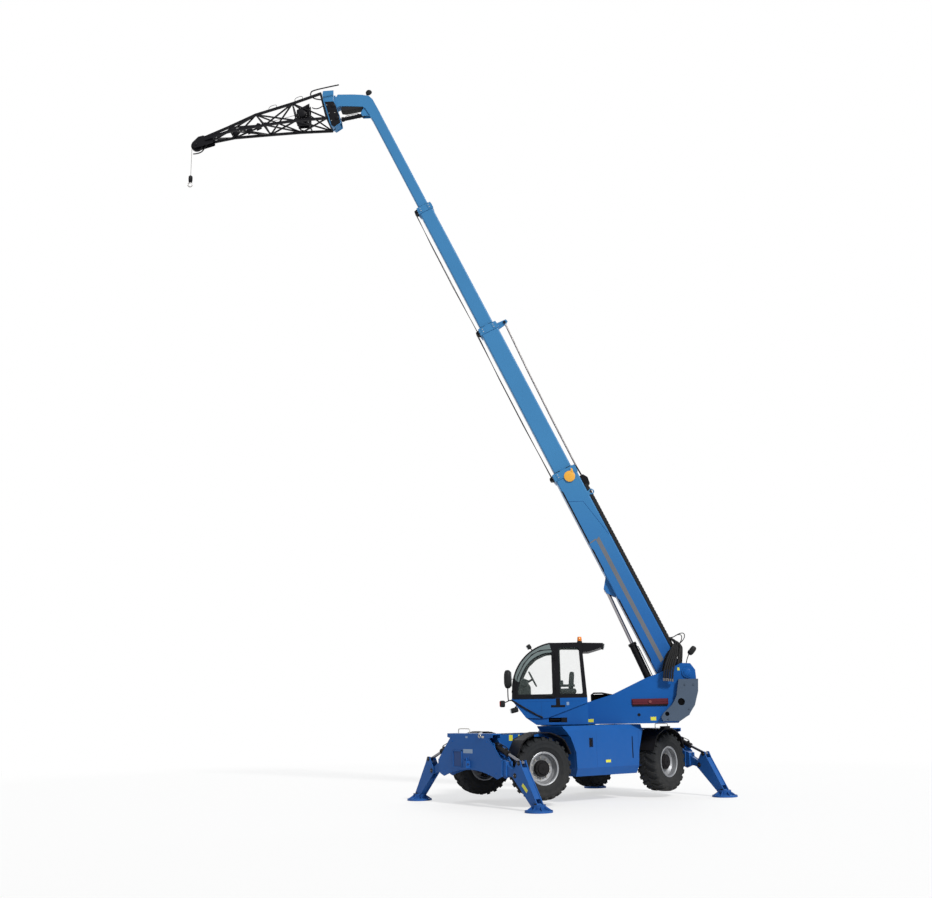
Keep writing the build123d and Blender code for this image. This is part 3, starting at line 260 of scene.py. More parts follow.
def slab(outline, y0, y1, bevel=0.003):
    """An X-Z outline carried along Y between two rims drawn in by a bevel.

    A corner moves in along the sum of its two edges' inward normals over one plus their cosine.
    """
    p = np.array(outline, float)
    ahead = np.roll(p, -1, 0)
    if np.sum(p[:, 0] * ahead[:, 1] - ahead[:, 0] * p[:, 1]) > 0:
        p = p[::-1]
    edge = np.roll(p, -1, 0) - p
    edge /= np.linalg.norm(edge, axis=1)[:, None]
    inward = np.column_stack([edge[:, 1], -edge[:, 0]])
    before = np.roll(inward, 1, 0)
    corner = (inward + before) / (1 + np.sum(inward * before, axis=1))[:, None]
    small = p + corner * bevel
    levels = ((small, y0), (p, y0 + bevel), (p, y1 - bevel), (small, y1))
    return skin(np.array([np.column_stack([q[:, 0], np.full(len(q), y), q[:, 1]]) for q, y in levels]))


def box(x0, x1, y0, y1, z0, z1, bevel=0.003):
    """A block between two corners, with its rims bevelled."""
    return slab([(x0, z0), (x1, z0), (x1, z1), (x0, z1)], y0, y1, bevel)


def tube(path, radius, around=10):
    """A circle carried square along a path. The radius is one number, or one for each point."""
    p = np.array(path, float)
    along = np.gradient(p, axis=0)
    along /= np.linalg.norm(along, axis=1)[:, None]
    side = np.cross(along, (0.31, 0.52, 0.79))
    side /= np.linalg.norm(side, axis=1)[:, None]
    up = np.cross(along, side)
    a = np.linspace(0, 2 * np.pi, around, endpoint=False)[None, :, None]
    r = np.broadcast_to(radius, len(p))[:, None, None]
    return skin(p[:, None] + r * (np.cos(a) * side[:, None] + np.sin(a) * up[:, None]))


def soften(path, times=3):
    """A path with its corners cut: each pass keeps a quarter and three quarters of every run."""
    p = np.array(path, float)
    for _ in range(times):
        a, b = p[:-1], p[1:]
        cut = np.stack([0.75 * a + 0.25 * b, 0.25 * a + 0.75 * b], axis=1).reshape(-1, p.shape[1])
        p = np.concatenate([p[:1], cut, p[-1:]])
    return p


def bent(corners, radius, around=8, times=2):
    """A rod, pipe or hose with bends in place of its path's corners."""
    return tube(soften(corners, times), radius, around)


def turned(profile, around=48, ends="closed"):
    """(radius, height) pairs, from the bottom up the outside, turned about Z."""
    r, h = np.array(profile, float).T[:, :, None]
    a = np.linspace(0, 2 * np.pi, around, endpoint=False)[None]
    return skin(np.stack([r * np.cos(a), r * np.sin(a), h + 0 * a], axis=-1), ends)


def hoop(radius, thick, around):
    """A round bar bent into a ring: an eight-sided circle turned about Z."""
    a = np.arange(8) * np.pi / 4
    return turned(np.column_stack([radius + thick * np.cos(a), thick * np.sin(a)]), around, "joined")


def many(shape, places):
    """One shape repeated in a list of local frames."""
    points, faces = shape
    places = np.array(places)
    moved = np.einsum("kij,nj->kni", places[:, :3, :3], points) + places[:, None, :3, 3]
    step = np.arange(len(places)) * len(points)
    copies = [(f[None] + step[:, None, None]).reshape(-1, f.shape[1]) for f in faces]
    return moved.reshape(-1, 3), copies


def bolts(size, places):
    """Hexagonal heads on their washers, one standing along Z in each local frame."""
    washer = turned([(size, 0), (size, size * 0.18)], 18)
    head = turned([(size * 0.8, size * 0.15), (size * 0.8, size * 0.66), (size * 0.7, size * 0.75)], 6)
    return [many(washer, places), many(head, places)]


def piece(name, shapes, finish, body, crease=38):
    """One mesh of several closed shapes, in the row's frame, riding on a body if it has only one."""
    points = np.concatenate([shape[0] for shape in shapes])
    starts = np.cumsum([0] + [len(shape[0]) for shape in shapes[:-1]])
    faces = []
    for (_, groups), start in zip(shapes, starts):
        for group in groups:
            faces += (group + start).tolist()
    mesh = bpy.data.meshes.new(name)
    mesh.from_pydata(points.tolist(), [], faces)
    mesh.materials.append(finish)
    mesh.shade_smooth()
    mesh.set_sharp_from_angle(angle=np.radians(crease))
    thing = bpy.data.objects.new(name, mesh)
    scene.collection.objects.link(thing)
    if body:
        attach(thing, body)
    return thing


X, Y, Z = np.eye(3)
chassis = stand(slew_axis, X, Z)
blue_paint = finish_of("blue_paint", (0.008, 0.084, 0.31), 0.34, shine=0.1, dust=0.12)
decal_yellow = finish_of("decal_yellow", (0.62, 0.60, 0.05), 0.45, peel=0.0)
blank_label = finish_of("blank_label", (0.20, 0.29, 0.42), 0.4, peel=0.0)
zinc = finish_of("zinc", (0.42, 0.41, 0.38), 0.42, metal=0.85)
dress(blue_paint, "chassis_frame")

end_face = {
    "front": chassis @ stand((END_OUT, 0, 0), Y, Z),
    "rear": chassis @ stand((-END_OUT, 0, 0), -Y, Z),
}
rails, cover_shade, hatches, plates, bolt_places = [], [], [], [], []
for face in end_face.values():
    # A steel grab rail on the top plate
    rail = [(-0.38, 1.32), (-0.38, 1.40), (-0.36, 1.42), (-0.02, 1.42), (0.0, 1.40), (0.0, 1.32)]
    rails += at(face, bent([(x, 0.02, z) for x, z in rail], 0.009, 10))
    # A raised frame round a hatch, and the trailer socket's flange beside it
    for x0, x1, z0, z1 in (
        (-0.55, -0.53, 0.7, 1.02),
        (-0.26, -0.24, 0.7, 1.02),
        (-0.55, -0.24, 1.0, 1.02),
        (-0.55, -0.24, 0.69, 0.71),
    ):
        hatches += at(face, box(x0, x1, -0.014, 0.002, z0, z1))
    hatches += at(face, box(-0.17, -0.02, -0.008, 0.002, 0.77, 0.91))
    for x0, x1, z0, z1 in ((-0.20, 0.11, 0.965, 1.04), (-0.12, -0.05, 1.245, 1.28)):
        plates += at(face, box(x0, x1, -0.0012, 0.001, z0, z1, 0.0005))
    # The cover inside the hatch frame is in the shaded blue: painted shade in the frame's recess
    cover_shade += at(face, box(-0.52, -0.27, -0.004, 0.001, 0.72, 0.99, 0.001))
    socket = turned([(0.042, 0), (0.042, 0.022), (0.034, 0.026), (0.03, 0.01), (0.006, 0.01)], 28)
    hatches += at(face @ stand((-0.095, -0.006, 0.84), X, -Y), socket)
    for x, z in ((0.85, 0.62), (0.62, 0.6), (0.58, 1.18)):
        bolt_places += [face @ stand((way * x, 0, z), X, -Y) for way in (-1, 1)]
piece("end_plate_hatches", hatches, blue_paint, "chassis")
shade_blue = finish_of("shaded_blue_paint", (0.006, 0.045, 0.18), 0.4, shine=0.15, dust=0.12)
piece("end_plate_cover_shade", cover_shade, shade_blue, "chassis")
piece("end_plate_labels", plates, blank_label, "chassis")
piece("deck_grab_rails", rails, zinc, "chassis")
piece("end_plate_bolts", bolts(0.016, bolt_places), blue_paint, "chassis")
shackle = at(end_face["front"] @ stand((0.36, -0.009, 1.29), X, -Y), hoop(0.034, 0.009, 24))
shackle += at(end_face["front"], box(0.43, 0.50, -0.016, 0.002, 1.25, 1.29, 0.004))
piece("front_shackle", shackle, zinc, "chassis")

# Flat lamps at the rear corners, with a red face over a black housing
lamp_black = finish_of("lamp_housing", (0.01, 0.01, 0.011), 0.5)
lamp_red = finish_of("red_lens", (0.35, 0.012, 0.01), 0.18, peel=0.3, peel_size=400)
housings, lenses = [], []
for side in (-1, 1):
    x0, x1 = sorted((side * 0.42, side * 0.60))
    housings += at(end_face["rear"], box(x0, x1, -0.05, 0.001, 1.07, 1.15, 0.006))
    lens = box(x0 + 0.008, x1 - 0.008, -0.062, -0.045, 1.078, 1.142, 0.006)
    lenses += at(end_face["rear"], lens)
piece("end_lamp_housings", housings, lamp_black, "chassis")
piece("rear_lamp_lenses", lenses, lamp_red, "chassis")

patches = []
for way in (-1, 1):
    side = chassis @ stand((0, way * 0.4, 0), X, Z)
    for x0, x1, z0 in ((1.73, 1.82, 1.18), (1.56, 1.595, 1.26)):
        patches += at(side, box(x0, x1, -0.0012, 0.0012, z0, 1.29, 0.0005))
piece("frame_decals", patches, decal_yellow, "chassis")

# Chequered walkway plates on the deck, with raised ribs under a worn dark coat
PLATE_ENDS = ((0.9, 1.5), (1.52, 2.24), (-1.5, -0.9), (-2.24, -1.52))
RIB_ENDS = ((0.93, 1.48), (1.55, 2.22), (-1.47, -0.92), (-2.21, -1.54))
RIB_STEP = 0.05
walkway_coat = finish_of("walkway_coat", (0.010, 0.045, 0.13), 0.6, shine=0.1)
walkways = at(chassis, *(box(x0, x1, -0.37, 0.37, 1.299, 1.305, 0.002) for x0, x1 in PLATE_ENDS))
rib = slab([(-0.022, -0.0035), (0, -0.0045), (0.022, 0), (0, 0.0045)], -0.0015, 0.0015, 0.001)
rib_places = []
for x0, x1 in RIB_ENDS:
    for i, x in enumerate(np.arange(x0, x1, RIB_STEP)):
        for j, y in enumerate(np.arange(-0.35, 0.36, RIB_STEP)):
            turn = ((i + j) % 2) * 2 - 1
            along = np.array([1, turn, 0]) / np.sqrt(2)
            across = np.array([turn, -1, 0]) / np.sqrt(2)
            rib_places.append(chassis @ stand((x, y, 1.3055), along, across))
walkways.append(many(rib, rib_places))
piece("deck_walkways", walkways, walkway_coat, "chassis")

# ---------------------------------------------------------------- axles and wheels
# Black cast axles, silver pressed rims bolted to black planetary hubs, and chevron-lugged tyres.
# The rubber is dull and dusty between its lugs; each tyre is one moulding on its rim.
CORNERS = ("front_left", "front_right", "rear_left", "rear_right")
LUGS = 22
AXLE_X, AXLE_Z = 1.533, 0.684
black_paint = finish_of("black_paint", (0.006, 0.006, 0.008), 0.42, shine=0.1, dust=0.08)
silver_paint = finish_of("silver_paint", (0.30, 0.31, 0.33), 0.36, metal=0.5, dust=0.15)
rubber = finish_of("rubber", (0.011, 0.0135, 0.017), 0.75, shine=0.1, peel=0.3, dust=0.2)
outer_wall = [
    (0.553, 0.0), (0.552, 0.09), (0.546, 0.15), (0.532, 0.196), (0.505, 0.2195), (0.472, 0.2275),
    (0.455, 0.2285), (0.448, 0.225), (0.43, 0.2262), (0.402, 0.2240), (0.396, 0.2275), (0.386, 0.2275),
    (0.38, 0.2215), (0.345, 0.212), (0.31, 0.194), (0.289, 0.170), (0.30, 0.15), (0.5, 0.15),
]  # fmt: skip
carcass = turned([(r, -h) for r, h in outer_wall[:0:-1]] + outer_wall, 96, "joined")


def tread_lug(side):
    """A bar of rubber from near the tread's middle out over its shoulder.

    Level k is a rectangle between two radii and two angles: lag k plus or minus its half width.
    """
    root = np.array([(0.545, 0.012), (0.544, 0.09), (0.536, 0.165), (0.52, 0.2), (0.49, 0.215)]).T
    crown = np.array([(0.575, 0.012), (0.5745, 0.09), (0.571, 0.17), (0.556, 0.214), (0.515, 0.2282)]).T
    lag = np.array([0, 0.07, 0.135, 0.165, 0.178])
    wide = np.array([0.032, 0.036, 0.042, 0.046, 0.04]) / 0.57
    narrow = wide * 0.82
    corners = [
        [radius * np.cos(lag + turn), radius * np.sin(lag + turn), side * height]
        for (radius, height), turn in ((root, -wide), (crown, -narrow), (crown, narrow), (root, wide))
    ]
    return skin(np.array(corners).transpose(2, 0, 1)[:, ::side])


def spread_round(count, radius, height):
    """Local frames evenly round Z, all turned alike."""
    angles = np.arange(count) * 2 * np.pi / count
    return [stand((radius * np.cos(a), radius * np.sin(a), height), X, Z) for a in angles]


def facing_out(angles):
    """Local frames at the origin, each with its X turned about Z by an angle."""
    return [stand((0, 0, 0), (np.cos(a), np.sin(a), 0), Z) for a in angles]


tread = []
for side in (-1, 1):
    lug_turns = np.arange(LUGS) * 2 * np.pi / LUGS + (side > 0) * np.pi / LUGS
    tread.append(many(tread_lug(side), facing_out(lug_turns)))
hub_cap = [(0.148, 0.030), (0.15, 0.112), (0.142, 0.128), (0.108, 0.132), (0.1, 0.152), (0.05, 0.156)]
hub = [turned(hub_cap, 40), *bolts(0.012, spread_round(12, 0.126, 0.128))]
hub.append(turned([(0.016, 0.15), (0.016, 0.168), (0.011, 0.172)], 6))
nuts = bolts(0.021, spread_round(10, 0.192, 0.041))
flange = [(0.288, 0.185), (0.302, 0.19), (0.304, 0.197), (0.297, 0.2), (0.284, 0.192)]
valve = bent([(0.262, 0, 0.1), (0.25, 0, 0.13), (0.245, 0, 0.165)], 0.006, 8, 3)
guard = [(-0.562, 0.248), (-0.432, 0.52), (-0.15, 0.652), (0.15, 0.652), (0.432, 0.52), (0.562, 0.248)]
for corner in CORNERS:
    side = 1 if corner.endswith("left") else -1
    spin = joints[f"spin_{corner}"]
    outward = side * np.array(spin["axis"])
    wheel = stand(spin["pos_m"], Z, outward)
    on_wheel = f"wheel_{corner}"
    tyre = piece(f"lugged_tyre_{corner}", at(wheel, carcass, *tread), rubber, on_wheel)
    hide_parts(f"tyre_{corner}")
    piece(f"hub_{corner}", at(wheel, *hub), black_paint, on_wheel)
    piece(f"wheel_nuts_{corner}", at(wheel, *nuts), zinc, on_wheel)
    rim_trim = at(wheel, turned(flange, 72, "joined"), valve)
    piece(f"rim_edge_{corner}", rim_trim, silver_paint, on_wheel)
    dress(silver_paint, f"rim_{corner}")
    # Rolled lips round the mudguard's edges, and a brake hose from the yoke to the hub
    knuckle = stand(joints[f"steer_{corner}"]["pos_m"], np.cross(outward, Z), Z)
    lips = [
        bent([(x, y, z) for x, z in line], 0.008, times=1)
        for y, line in ((0.438, guard), (-0.018, guard[1:-1]))
    ]
    hose = [(0.07, 0.0, 0.215), (0.12, 0.02, 0.26), (0.12, 0.07, 0.18), (0.07, 0.1, 0.08)]
    lips.append(bent(hose, 0.008, times=3))
    if corner.startswith("rear"):
        lips.append(box(-0.11, 0.1, 0.3, 0.42, 0.645, 0.70, 0.008))
    lips = at(knuckle, *lips)
    piece(f"mudguard_lip_{corner}", lips, black_paint, f"knuckle_{corner}")
    dress(black_paint, f"steering_knuckle_{corner}")
axle_bits = []
for front in (-1, 1):
    axle = chassis @ stand((front * AXLE_X, 0, AXLE_Z), X, Z)
    cover = turned([(0.128, 0), (0.128, 0.02), (0.11, 0.035), (0.04, 0.04)], 40)
    for way in (-1, 1):
        seat = axle @ stand((way * 0.15, 0, 0), Z, way * X)
        axle_bits += at(seat, cover, *bolts(0.01, spread_round(10, 0.118, 0.02)))
        hose = [(0.11, way * 0.2, 0.08), (0.13, way * 0.35, 0.1), (0.12, way * 0.55, 0.12)]
        axle_bits += at(axle, bent(hose, 0.01, 8, 3))
piece("axle_covers_and_hoses", axle_bits, black_paint, "chassis")
dress(black_paint, "front_axle", "rear_axle")

# ---------------------------------------------------------------- outriggers
# Blue box-section beams and legs, each folded by a black cylinder with a chromed rod.
# The round steel pads are stiffened by welded ribs; pins are held by bolted keeper plates.
RIG_X = 2.370
PAD_OUT = 1.95
LEG_FACE = 0.0745
PINS = ((1.38, 0.6), (1.5, 0.825), (PAD_OUT, 0.11))
RAM_FOOT = (0.7, 1.12)
hard_chrome = finish_of("hard_chrome", (0.2, 0.2, 0.22), 0.22, metal=1.0, peel=0.0, spread=0.2)
pad_rib = slab([(0.09, 0.03), (0.225, 0.028), (0.235, 0.036), (0.10, 0.125), (0.09, 0.125)], -0.006, 0.006)
pad_rim = turned([(0.236, 0.0205), (0.2495, 0.0205), (0.2495, 0.036), (0.236, 0.036)], 56, "joined")
cup_line = [(0.104, 0.055), (0.116, 0.055), (0.13, 0.125), (0.132, 0.132), (0.122, 0.134), (0.108, 0.07)]
pad_ribs = many(pad_rib, facing_out(np.arange(8) * np.pi / 4 + np.pi / 8))
keeper = turned([(0.046, 0), (0.046, 0.004), (0.043, 0.006)], 24)
ram_along = np.array([PINS[1][0] - RAM_FOOT[0], 0, PINS[1][1] - RAM_FOOT[1]])
ram_along /= np.linalg.norm(ram_along)
gland = turned([(0.0505, 0), (0.057, 0.003), (0.057, 0.038), (0.05, 0.042), (0.0295, 0.043)], 32)
for corner in CORNERS:
    front = 1 if corner.startswith("front") else -1
    side = 1 if corner.endswith("left") else -1
    rig = chassis @ stand((front * RIG_X, 0, 0), side * Y, Z)
    on_leg = f"leg_{corner}"
    foot = at(rig @ stand((PAD_OUT, 0, 0), X, Z), pad_ribs, pad_rim, turned(cup_line, 40, "joined"))
    piece(f"pad_ribs_{corner}", foot, blue_paint, on_leg)
    keepers, studs = [], []
    for way in (-1, 1):
        for x, z in PINS:
            seat = rig @ stand((x, way * LEG_FACE, z), X, way * Y)
            keepers += at(seat, keeper)
            studs += [seat @ stand((turn * 0.026, 0.0, 0.0055), X, Z) for turn in (1, -1)]
    piece(f"pin_keepers_{corner}", keepers, black_paint, on_leg)
    piece(f"keeper_bolts_{corner}", bolts(0.006, studs), zinc, on_leg)
    if corner == "front_left":
        patch = box(-0.09, 0.09, -0.0015, 0.0015, -0.032, 0.032, 0.0007)
        patches = [
            at(rig @ stand((1.66, way * 0.0755, 0.40), (0.758, 0, -0.652), (0.652, 0, 0.758)), patch)[0]
            for way in (-1, 1)
        ]
        piece(f"leg_decals_{corner}", patches, decal_yellow, on_leg)
    # Cylinder: a gland at its mouth, and two port blocks with their hoses along the barrel
    ram_up = (-ram_along[2], 0, ram_along[0])
    ram = rig @ stand((RAM_FOOT[0], 0, RAM_FOOT[1]), ram_along, ram_up)
    fittings = at(ram @ stand((0.392, 0, 0), Z, X), gland)
    fittings += at(ram, *(box(x, x + 0.04, -0.02, 0.02, 0.046, 0.072) for x in (0.33, 0.16)))
    for x, y in ((0.35, 0.012), (0.18, -0.012)):
        run = [(x, y, 0.065), (x, y, 0.085), (x - 0.06, y, 0.085), (0.14, y, 0.08), (0.02, y, 0.06)]
        fittings += at(ram, bent(run, 0.008, times=3))
    piece(f"ram_fittings_{corner}", fittings, black_paint, f"barrel_{corner}")
    dress(blue_paint, f"outrigger_beam_{corner}", f"outrigger_leg_{corner}")
    dress(black_paint, f"outrigger_barrel_{corner}")
    dress(hard_chrome, f"outrigger_rod_{corner}")

# Folded flange along the end plates' slopes
flanges = []
for face in end_face.values():
    for side in (-1, 1):
        (x0, z0), (x1, z1) = (side * 0.650, 1.236), (side * 1.038, 0.856)
        out = np.array([z0 - z1, abs(x1 - x0)]) / np.hypot(z0 - z1, x1 - x0) * 0.008
        strip = [(x0, z0), (x1, z1), (x1 + side * out[0], z1 + out[1]), (x0 + side * out[0], z0 + out[1])]
        flanges += at(face, slab(strip, -0.001, 0.012, 0.002))
piece("end_plate_flanges", flanges, blue_paint, "chassis")

# ---------------------------------------------------------------- side boxes
# Welded sheet-steel tool and fuel boxes between the wheels, with a latch in a recess on the left; black
# blocks behind it and strips beside it are painted shade that darkens the recess.
# Seams show where their lids and panels meet, and small labels are stuck below them.
BOX_OUT = 1.2
dress(blue_paint, "side_box_left", "side_box_right")
left_side = chassis @ stand((0, BOX_OUT, 0), X, Z)
right_side = chassis @ stand((0, -BOX_OUT, 0), -X, Z)
latches = [
    box(0.41, 0.47, -0.026, -0.012, 1.045, 1.195, 0.004),
    box(0.425, 0.455, -0.014, -0.001, 1.07, 1.15, 0.005),
    *(box(x, x + 0.016, -0.001, 0.002, 1.03, 1.21, 0.001) for x in (0.392, 0.472)),
    box(-0.652, -0.628, -0.018, -0.008, 0.80, 1.2, 0.002),
]
piece("box_latches_and_recess_shade", at(left_side, *latches), black_paint, "chassis")
seams = []
for place, top, x0, x1 in ((left_side, 1.335, -0.86, 1.05), (right_side, 1.17, -0.9, 0.86)):
    for a, b, z0, z1 in (
        (x0, x1 - 0.13, 0.644, 0.648),
        (x0 + 0.05, x0 + 0.054, 0.66, top),
        (x1 - 0.19, x1 - 0.186, 0.66, top - 0.12),
        (0.30, 0.304, 0.66, top),
    ):
        seams += at(place, box(a, b, -0.001, 0.0008, z0, z1, 0.0004))
piece("box_seams", seams, shade_blue, "chassis")
patches = at(left_side, box(-0.05, 0.08, -0.001, 0.0012, 0.735, 0.785, 0.0005))
patches += at(right_side, box(-0.2, -0.11, -0.001, 0.0012, 0.72, 0.76, 0.0005))
piece("box_decals", patches, decal_yellow, "chassis")
filler_cap = turned([(0.052, 0), (0.056, 0.006), (0.056, 0.012), (0.034, 0.012)], 32)
cap_at = chassis @ stand((0.2, 0.85, 1.44), X, Z)
piece("tank_filler_cap", at(cap_at, filler_cap), black_paint, "chassis")

# ---------------------------------------------------------------- slewing ring and turret frame
# A steel slewing bearing under a turret of two tall cheek plates, welded up in gloss blue.
# The right cheek carries the engine, the left one the cab.
TURN = np.array([0.7547, -0.6561, 0])
CHEEK_OUT = 0.48
bright_steel = finish_of("bright_steel", (0.45, 0.45, 0.46), 0.35, metal=1.0)
dress(bright_steel, "slew_ring")
dress(blue_paint, "turret_frame")
turret = stand(slew_axis, TURN, Z)
cheek_left = turret @ stand((0, CHEEK_OUT, 0), X, Z)
cheek_right = turret @ stand((0, -CHEEK_OUT, 0), X, Z)
rail_red = finish_of("red_rail", (0.085, 0.010, 0.018), 0.4, shine=0.2)
dull_red = finish_of("dull_red", (0.16, 0.03, 0.03), 0.4)
rail = [
    box(-2.02, -1.3, -0.001, 0.034, 1.815, 1.93, 0.014),
    box(-2.0, -1.32, -0.001, 0.044, 1.862, 1.885, 0.006),
]
piece("cheek_rail", at(cheek_left, *rail), rail_red, "turret")
stud = turned([(0.03, 0), (0.03, 0.052), (0.026, 0.056)], 28)
stud_at = cheek_left @ stand((-1.66, 0, 1.873), X, Y)
piece("cheek_rail_stud", at(stud_at, stud), dull_red, "turret")
# A black strip under the red rail is painted shadow; lower down, black discs sit on both cheeks
rail_shadow_and_discs = at(cheek_left, box(-2.0, -1.31, -0.001, 0.02, 1.785, 1.822, 0.004))
rim = turned([(0.03, 0), (0.03, 0.004), (0.02, 0.004)], 28)
rail_shadow_and_discs += at(cheek_left @ stand((-1.43, 0, 1.62), X, Y), rim)
plug = turned([(0.028, 0.0), (0.03, 0.003), (0.022, 0.003)], 28)
rail_shadow_and_discs += at(cheek_right @ stand((-1.43, 0, 1.62), X, -Y), plug)
piece("cheek_rail_shadow_and_discs", rail_shadow_and_discs, black_paint, "turret")
patches = []
for x, z, half_x, half_z in (
    (-1.71, 1.541, 0.055, 0.035),
    (-0.47, 1.522, 0.055, 0.03),
    (-2.26, 2.50, 0.022, 0.03),
):
    patch = box(x - half_x, x + half_x, -0.001, 0.0015, z - half_z, z + half_z, 0.0007)
    patches += at(cheek_left, patch)
piece("cheek_decals", patches, decal_yellow, "turret")
pin_caps, pin_bolts = [], []
for way in (-1, 1):
    seat = turret @ stand((-2.43, way * 0.504, 2.43), X, way * Y)
    pin_caps += at(seat, turned([(0.075, 0), (0.075, 0.012), (0.068, 0.016)], 40))
    pin_bolts += [seat @ place for place in spread_round(6, 0.055, 0.014)]
piece("boom_pin_caps", pin_caps, blue_paint, "turret")
piece("boom_pin_bolts", bolts(0.009, pin_bolts), blue_paint, "turret")
# Step under the door: an edge round the recess, black painted shade lining it with a black patch beside it,
# and a grating
step = turret @ stand((0.225, 1.12, 1.55), X, Z)
edges = [
    box(x0, x1, -0.02, 0.001, z0, z1)
    for x0, x1, z0, z1 in (
        (-0.128, 0.128, 0.043, 0.052),
        (-0.128, 0.128, -0.052, -0.043),
        (-0.134, -0.123, -0.052, 0.052),
        (0.123, 0.134, -0.052, 0.052),
    )
]
piece("step_frame", at(step, *edges), blue_paint, "turret")
recess_shade_and_patch = [
    box(-0.124, 0.124, -0.118, -0.112, -0.044, 0.044, 0.001),
    box(-0.12, 0.12, -0.1, -0.03, -0.02, 0.036, 0.02),
    box(-0.235, -0.124, -0.001, 0.002, -0.046, 0.046, 0.001),
]
piece("step_recess_shade", at(step, *recess_shade_and_patch), black_paint, "turret")
bars = [box(x, x + 0.006, -0.115, -0.012, -0.045, -0.039, 0.001) for x in np.arange(-0.115, 0.11, 0.02)]
piece("step_grating", at(step, *bars), walkway_coat, "turret")

# ---------------------------------------------------------------- counterweight
# Thick steel plates in flat grey paint, bolted outside both cheeks, with lifting holes burnt
# through them.
grey_paint = finish_of("grey_paint", (0.06, 0.085, 0.125), 0.45, shine=0.15)
dress(grey_paint, "counterweight")
plate_bolts, hole_shade_discs = [], []
for way in (-1, 1):
    for x, z in ((-2.53, 2.19), (-2.36, 2.19), (-2.42, 1.72), (-2.0, 1.53)):
        plate_bolts.append(turret @ stand((x, way * 0.6003, z), X, way * Y))
    # Black discs on the cheeks behind the lifting holes are painted shade in the holes
    for x, z, r in ((-2.27, 1.86, 0.068), (-1.98, 1.63, 0.04)):
        hole_shade_discs += at(turret @ stand((x, way * 0.4805, z), X, way * Y), turned([(r, 0), (r, 0.012)], 36))
piece("counterweight_hole_shade", hole_shade_discs, black_paint, "turret")
piece("counterweight_bolts", bolts(0.021, plate_bolts), grey_paint, "turret")

# ---------------------------------------------------------------- engine and its hood
# A diesel with its radiator on the right deck, under a black glass-fibre hood hinged at the cheek.
# The hood has a fine orange peel, slotted vents and two latches.
hood_black = finish_of(
    "hood_black", (0.008, 0.008, 0.01), 0.38, shine=0.12, peel=0.12, peel_size=90, dust=0.1
)
engine_iron = finish_of("engine_iron", (0.05, 0.055, 0.06), 0.5, metal=0.3, peel=0.5, peel_size=120)
dress(hood_black, "engine_hood")
dress(engine_iron, "engine")
louvres = [box(-0.296, 0.296, 0.002, 0.016, z - 0.010, z - 0.006, 0.001) for z in (1.64, 1.70, 1.76)]
for x in (-0.42, 0.42):
    louvres.append(box(x - 0.03, x + 0.03, -0.012, 0.001, 1.55, 1.59, 0.006))
    latch = [(x - 0.02, -0.01, 1.57), (x, -0.022, 1.572), (x + 0.02, -0.01, 1.57)]
    louvres.append(bent(latch, 0.006, 8, 3))
louvres = at(turret @ stand((-1.115, -1.12, 0), X, Z), *louvres)
piece("hood_latches_and_louvres", louvres, black_paint, "engine_hood")
intake = [(-0.75, -0.62, 1.87), (-0.7, -0.62, 1.95), (-0.8, -0.75, 1.97), (-1.0, -0.8, 1.94)]
engine_parts = [box(-1.45, -0.75, -0.95, -0.68, 1.862, 1.90, 0.01), bent(intake, 0.035, 14, 3)]
engine_parts += [box(x, x + 0.09, -0.9, -0.73, 1.895, 1.92, 0.012) for x in (-1.2, -1.05, -0.9)]
piece("engine_dressings", at(turret, *engine_parts), engine_iron, "turret")

# ---------------------------------------------------------------- cab frame, door and glass
# A welded tube cab in satin black on a blue pressed base, its windscreen curved up into the roof.
# The panes' grey-green edges are painted reflection of the curved glass seen edge-on; rubber seals run
# round every opening.
CAB_OUT = 1.15
SEAL_OUT, SEAL_IN = 1.148, 0.282
dress(black_paint, "cab_frame", "cab_door")
dress(blue_paint, "cab_base")
glass = bpy.data.materials.new("safety_glass")
glass.use_nodes = True
glass.surface_render_method = "BLENDED"
tree = glass.node_tree
place = node(tree, "TexCoord").outputs["Object"]
smear = node(tree, "TexNoise", {"Vector": place, "Scale": 2.5, "Detail": 5}).outputs["Fac"]
tints = {"Factor": smear, "A": (0.25, 0.33, 0.3, 1), "B": (0.42, 0.5, 0.47, 1)}
tint = node(tree, "Mix", tints, data_type="RGBA").outputs["Result"]
feed(tree, tree.nodes["Principled BSDF"], {"Roughness": 0.04, "Alpha": 0.05, "Base Color": tint})
dress(glass, "cab_glass", "door_glass")
glass_edge_reflection = finish_of("glass_edge_painted_reflection", (0.115, 0.15, 0.15), 0.15, peel=0.0, spread=0.5)


def circle_through(a, b, c):
    """Centre and radius of the circle through three points, from its two bisectors."""
    a, b, c = (np.array(p, float) for p in (a, b, c))
    centre = np.linalg.solve(np.array([b - a, c - b]) * 2, [b @ b - a @ a, c @ c - b @ b])
    return centre, np.linalg.norm(a - centre)


BOW_FOOT, BOW_MIDDLE, BOW_TOP = (1.052, 2.12), (0.862, 2.70), (0.29, 3.04)
bow, bow_r = circle_through(BOW_FOOT, BOW_MIDDLE, BOW_TOP)
bow_from, bow_to = (np.arctan2(z - bow[1], x - bow[0]) for x, z in (BOW_FOOT, BOW_TOP))


def along_bow(inward, start, end, count=24):
    """Points on the windscreen's curve, a distance inside it, from its foot (0) to its top (1)."""
    a = bow_from + (bow_to - bow_from) * np.linspace(start, end, count)
    return bow + (bow_r - inward) * np.column_stack([np.cos(a), np.sin(a)])


